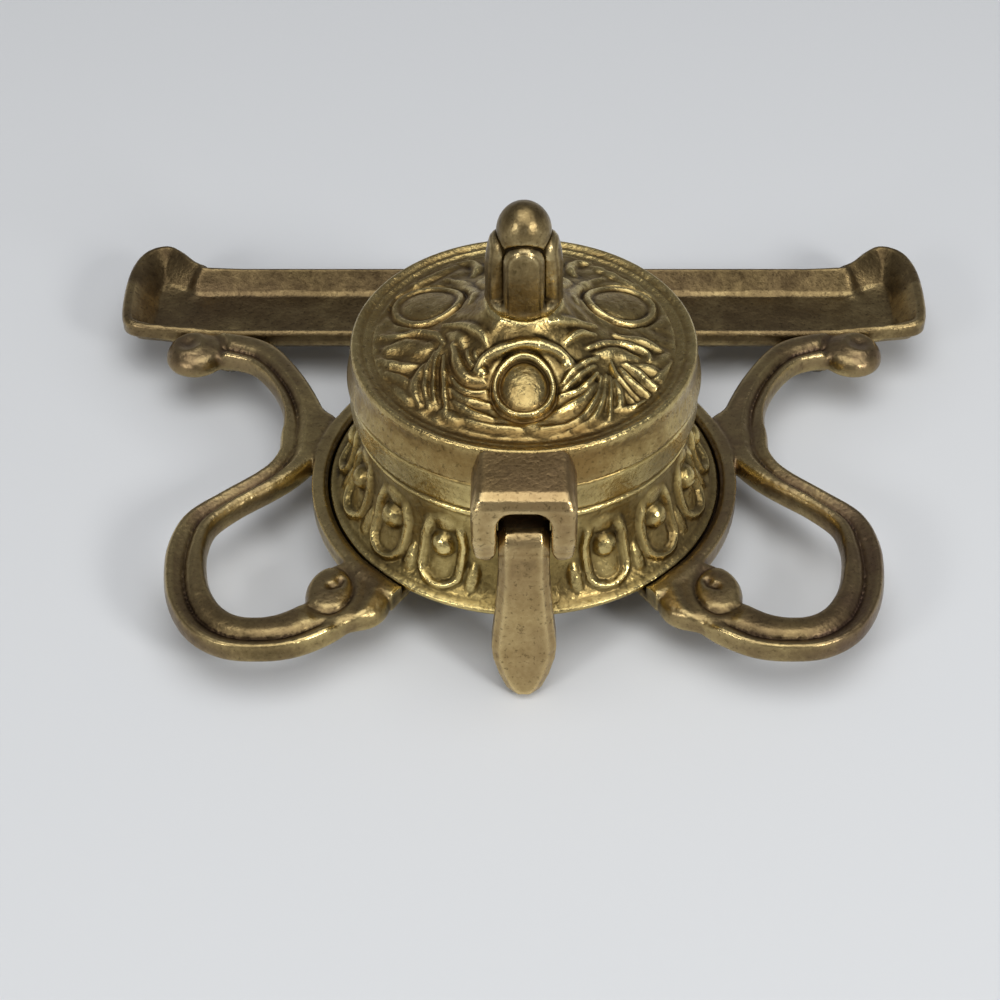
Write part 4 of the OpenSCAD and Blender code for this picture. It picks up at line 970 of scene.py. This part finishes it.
def screwTree(finish):
    tree = bpy.data.node_groups.new("slottedScrews", "GeometryNodeTree")
    tree.interface.new_socket(name="Places", in_out="INPUT", socket_type="NodeSocketGeometry")
    inputs = ("Head Radius", "Head Height", "Bevel", "Shank Radius", "Shank Length", "Slot Width", "Slot Depth")
    for name in inputs:
        tree.interface.new_socket(name=name, in_out="INPUT", socket_type="NodeSocketFloat")
    tree.interface.new_socket(name="Geometry", in_out="OUTPUT", socket_type="NodeSocketGeometry")
    given = addNode(tree, "NodeGroupInput").outputs
    size = {name: given[name] for name in inputs}
    # the sizes that follow from the given ones
    for name, operation, a, b in (
            ("Rim Foot", "SUBTRACT", "Head Radius", "Bevel"), ("Plate", "SUBTRACT", "Head Height", "Bevel"),
            ("Half Plate", "MULTIPLY", "Plate", 0.5), ("Plate Middle", "ADD", "Bevel", "Half Plate"),
            ("Half Shank", "MULTIPLY", "Shank Length", 0.5), ("Shank Foot", "MULTIPLY", "Head Height", 0.7),
            ("Shank Middle", "ADD", "Half Shank", "Shank Foot"), ("Slot Length", "MULTIPLY", "Head Radius", 3.0),
            ("Slot Height", "MULTIPLY", "Slot Depth", 2.0)):
        size[name] = addNode(tree, "ShaderNodeMath", {"operation": operation}, Value_0=size[a],
                             Value_1=size.get(b, b)).outputs[0]
    rim = addNode(tree, "GeometryNodeMeshCone", Vertices=48, Depth=size["Bevel"], Radius_Top=size["Head Radius"],
                  Radius_Bottom=size["Rim Foot"])
    parts = [rim.outputs["Mesh"]]
    for sides, radius, depth, middle in ((48, "Head Radius", "Plate", "Plate Middle"),
                                         (32, "Shank Radius", "Shank Length", "Shank Middle")):
        barrel = addNode(tree, "GeometryNodeMeshCylinder", Vertices=sides, Radius=size[radius], Depth=size[depth])
        raised = addNode(tree, "ShaderNodeCombineXYZ", Z=size[middle])
        parts.append(addNode(tree, "GeometryNodeTransform", Geometry=barrel.outputs["Mesh"],
                             Translation=raised.outputs[0]).outputs[0])
    slotSize = addNode(tree, "ShaderNodeCombineXYZ", X=size["Slot Length"], Y=size["Slot Width"], Z=size["Slot Height"])
    slot = addNode(tree, "GeometryNodeMeshCube", Size=slotSize.outputs[0]).outputs["Mesh"]
    whole = addNode(tree, "GeometryNodeMeshBoolean", {"operation": "UNION", "solver": "EXACT"})
    for part in parts:
        tree.links.new(part, whole.inputs["Mesh 2"])
    cut = addNode(tree, "GeometryNodeMeshBoolean", {"operation": "DIFFERENCE", "solver": "EXACT"})
    tree.links.new(whole.outputs["Mesh"], cut.inputs["Mesh 1"])
    tree.links.new(slot, cut.inputs["Mesh 2"])
    # each screw stopped where it was tight, so its slot points its own way
    way = addNode(tree, "GeometryNodeInputNamedAttribute", {"data_type": "FLOAT_VECTOR"}, Name="way")
    aligned = addNode(tree, "FunctionNodeAlignRotationToVector", {"axis": "Z"}, Vector=way.outputs[0])
    spin = addNode(tree, "FunctionNodeRandomValue", {"data_type": "FLOAT"}, Seed=screwSizes["seed"])
    turn = addNode(tree, "ShaderNodeMath", {"operation": "MULTIPLY"}, Value_0=spin.outputs[1], Value_1=math.pi)
    own = addNode(tree, "FunctionNodeAxisAngleToRotation", Angle=turn.outputs[0])
    both = addNode(tree, "FunctionNodeRotateRotation", {"rotation_space": "LOCAL"})
    tree.links.new(aligned.outputs[0], both.inputs[0]); tree.links.new(own.outputs[0], both.inputs[1])
    spread = addNode(tree, "GeometryNodeInstanceOnPoints", Points=given["Places"], Instance=cut.outputs["Mesh"],
                     Rotation=both.outputs[0])
    real = addNode(tree, "GeometryNodeRealizeInstances", Geometry=spread.outputs[0])
    dressed = addNode(tree, "GeometryNodeSetMaterial", Geometry=real.outputs[0], Material=finish)
    addNode(tree, "NodeGroupOutput", Geometry=dressed.outputs[0])
    return tree


def setScrews(name, tree, grip, places, way):
    s = screwSizes
    mesh = bpy.data.meshes.new(name + "Places")
    mesh.from_pydata(toRow(places).tolist(), [], [])
    mesh.attributes.new("way", "FLOAT_VECTOR", "POINT").data.foreach_set("vector", list(way) * len(places))
    piece = bpy.data.objects.new(name, mesh)
    bpy.context.scene.collection.objects.link(piece)
    modifier = piece.modifiers.new("screws", "NODES")
    modifier.node_group = tree
    sizes = {"Head Radius": s["headR"], "Head Height": s["headH"], "Bevel": s["bevel"], "Shank Radius": s["shankR"],
             "Shank Length": grip + s["headH"] * 0.3, "Slot Width": s["slotW"], "Slot Depth": s["slotDeep"]}
    for socket in tree.interface.items_tree:
        if socket.name in sizes:
            modifier[socket.identifier] = sizes[socket.name] * 0.001
    bpy.context.view_layer.update()
    made = bpy.data.meshes.new_from_object(piece.evaluated_get(bpy.context.evaluated_depsgraph_get()))
    piece.modifiers.clear()
    piece.data = made
    made.name = name
    return piece


def fixTo(piece, body, node):
    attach(piece, body)
    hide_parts(node)


screws = screwTree(steelScrew)
screwPlaces = {"trayX": (55.6, 60.6), "trayY": 40.1, "wellR": 32.85, "wellAngles": (30, 150, 215, 325),
               "legY": -27.4, "legZ": (17, 23)}
footX, footY = traySizes["foot"]
screwSets = {
    "foot_screws": ("footScrews", 4.8, [(side * footX, footY, 1.6) for side in (-1, 1)], (0, 0, 1)),
    "tray_screws": ("trayScrews", 4.0, [(side * x, screwPlaces["trayY"], 5.8) for side in (-1, 1)
                                        for x in screwPlaces["trayX"]], (0, 0, 1)),
    "well_screws": ("wellScrews", 3.6, [(*polarSpot(screwPlaces["wellR"], angle), 7.4)
                                        for angle in screwPlaces["wellAngles"]], (0, 0, 1)),
    "leg_screws": ("legScrews", 12.0, [(0, screwPlaces["legY"], z) for z in screwPlaces["legZ"]], (0, -1, 0)),
}
for node, (name, grip, places, way) in screwSets.items():
    fixTo(setScrews(name, screws, grip, places, way), "stand", node)
print("screws set:", [name for name, *_ in screwSets.values()])


def dress(piece, material):
    piece.data.materials.clear()
    piece.data.materials.append(material)


# the pad that the leg is screwed to is cast in one with the well
bpy.ops.object.select_all(action="DESELECT")
for piece in (wellBody, legPad):
    piece.select_set(True)
bpy.context.view_layer.objects.active = wellBody
bpy.ops.object.join()
for piece, material, body, node, slot in (
        (scrollFrame, brassFrame, "stand", "stand_frame", "aged_brass_frame"),
        (penTray, brassTray, "stand", "pen_tray", "aged_brass_tray"),
        (wellBody, brassWell, "stand", "well_body", "aged_brass_well"),
        (rearLeg, brassLeg, "stand", "rear_leg", "aged_brass_leg"),
        (lidShell, brassLid, "lid", "lid", "aged_brass_lid"),
        (hingeFork, brassLeg, "lid", "lid", "aged_brass_lid"),
        (finialBud, brassFinial, "lid", "finial", "aged_brass_finial")):
    dress(piece, material)
    fixTo(piece, body, node)
print("pieces ride on their bodies")


def pressedGlass():
    # Pressed soda glass, faintly green, with dried ink clouding its inside: wide soft gloss over a wavy skin
    material = bpy.data.materials.new("pressedGlass")
    material.use_nodes = True
    tree = material.node_tree
    shader = tree.nodes["Principled BSDF"]
    shader.inputs["Transmission Weight"].default_value = 0.9
    shader.inputs["IOR"].default_value = 1.5
    place = addNode(tree, "ShaderNodeTexCoord").outputs["Object"]
    stain = addNode(tree, "ShaderNodeTexNoise", Vector=place, Scale=1000 / 14.0, Detail=4.0)
    tint = addNode(tree, "ShaderNodeValToRGB", Fac=stain.outputs["Fac"])
    for stop, position, hue in zip(tint.color_ramp.elements, (0.35, 0.62), ("#b9c2c4", "#e2e9e3")):
        stop.position, stop.color = position, hexColour(hue)
    tree.links.new(tint.outputs["Color"], shader.inputs["Base Color"])
    cloud = addNode(tree, "ShaderNodeMapRange", Value=stain.outputs["Fac"], From_Min=0.3, From_Max=0.7,
                    To_Min=0.22, To_Max=0.06)
    tree.links.new(cloud.outputs[0], shader.inputs["Roughness"])
    waves = addNode(tree, "ShaderNodeTexNoise", Vector=place, Scale=1000 / 4.0, Detail=2.0)
    bump = addNode(tree, "ShaderNodeBump", Strength=0.25, Distance=0.0003, Height=waves.outputs["Fac"])
    tree.links.new(bump.outputs["Normal"], shader.inputs["Normal"])
    return material


for name in ("finial_nut", "hinge_pin", "front_foot_left", "front_foot_right"):
    dress(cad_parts[name], turnedBrass)
dress(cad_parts["ink_pot"], pressedGlass())

# table, lamps and camera
room = {"tableHex": "#d8dadb", "tableRough": 0.85, "world": 0.74,
        "sky": ((0.0, "#f0f0f0"), (0.16, "#c8c8ca"), (0.42, "#7e7e82"), (0.75, "#8e8e94"), (1.0, "#c2c4ca")),
        "lamps": {"lampLeft": ((-0.64, -0.68, 0.54), 0.22, 2.1), "lampRight": ((0.64, -0.68, 0.54), 0.22, 4.3),
                  "lampAbove": ((0.05, -0.2, 1.0), 1.0, 6.0)}}

bpy.ops.mesh.primitive_plane_add(size=6.0, location=(0, 0, 0))
table = bpy.context.object
table.name = "table"
tableMat = bpy.data.materials.new("paleTable")
tableMat.use_nodes = True
tableShader = tableMat.node_tree.nodes["Principled BSDF"]
tableShader.inputs["Base Color"].default_value = hexColour(room["tableHex"])
tableShader.inputs["Roughness"].default_value = room["tableRough"]
table.data.materials.append(tableMat)

world = bpy.data.worlds.new("room")
bpy.context.scene.world = world
world.use_nodes = True
sky = world.node_tree.nodes["Background"]
sky.inputs["Strength"].default_value = room["world"]
facing = addNode(world.node_tree, "ShaderNodeTexCoord").outputs["Generated"]
height = addNode(world.node_tree, "ShaderNodeSeparateXYZ", Vector=facing).outputs["Z"]
# the room is light along the wall behind the table and overhead, darker between
shade = addNode(world.node_tree, "ShaderNodeValToRGB", Fac=height)
for k, (position, hue) in enumerate(room["sky"]):
    stop = shade.color_ramp.elements[k] if k < 2 else shade.color_ramp.elements.new(position)
    stop.position, stop.color = position, hexColour(hue)
world.node_tree.links.new(shade.outputs["Color"], sky.inputs["Color"])


for name, (spot, size, power) in room["lamps"].items():
    lamp = bpy.data.lights.new(name, "AREA")
    lamp.size, lamp.energy = size, power
    holder = bpy.data.objects.new(name, lamp)
    holder.location = spot
    holder.rotation_euler = (Vector((0, 0, 0.02)) - Vector(spot)).to_track_quat("-Z", "Y").to_euler()
    bpy.context.scene.collection.objects.link(holder)

view = {"place": (0.0, -0.2974, 0.2671), "tilt": 47.32, "lens": 72.0, "shiftX": -0.024}
cam = bpy.data.cameras.new("camera")
cam.lens = view["lens"]
cam.sensor_width = 36.0
cam.sensor_fit = "HORIZONTAL"
cam.shift_x = view["shiftX"]
cam.clip_start = 0.01
holder = bpy.data.objects.new("camera", cam)
holder.location = view["place"]
holder.rotation_euler = (math.radians(view["tilt"]), 0, 0)
bpy.context.scene.collection.objects.link(holder)
bpy.context.scene.camera = holder
bpy.context.scene.view_settings.view_transform = "Standard"

print("table, lamps and camera set")
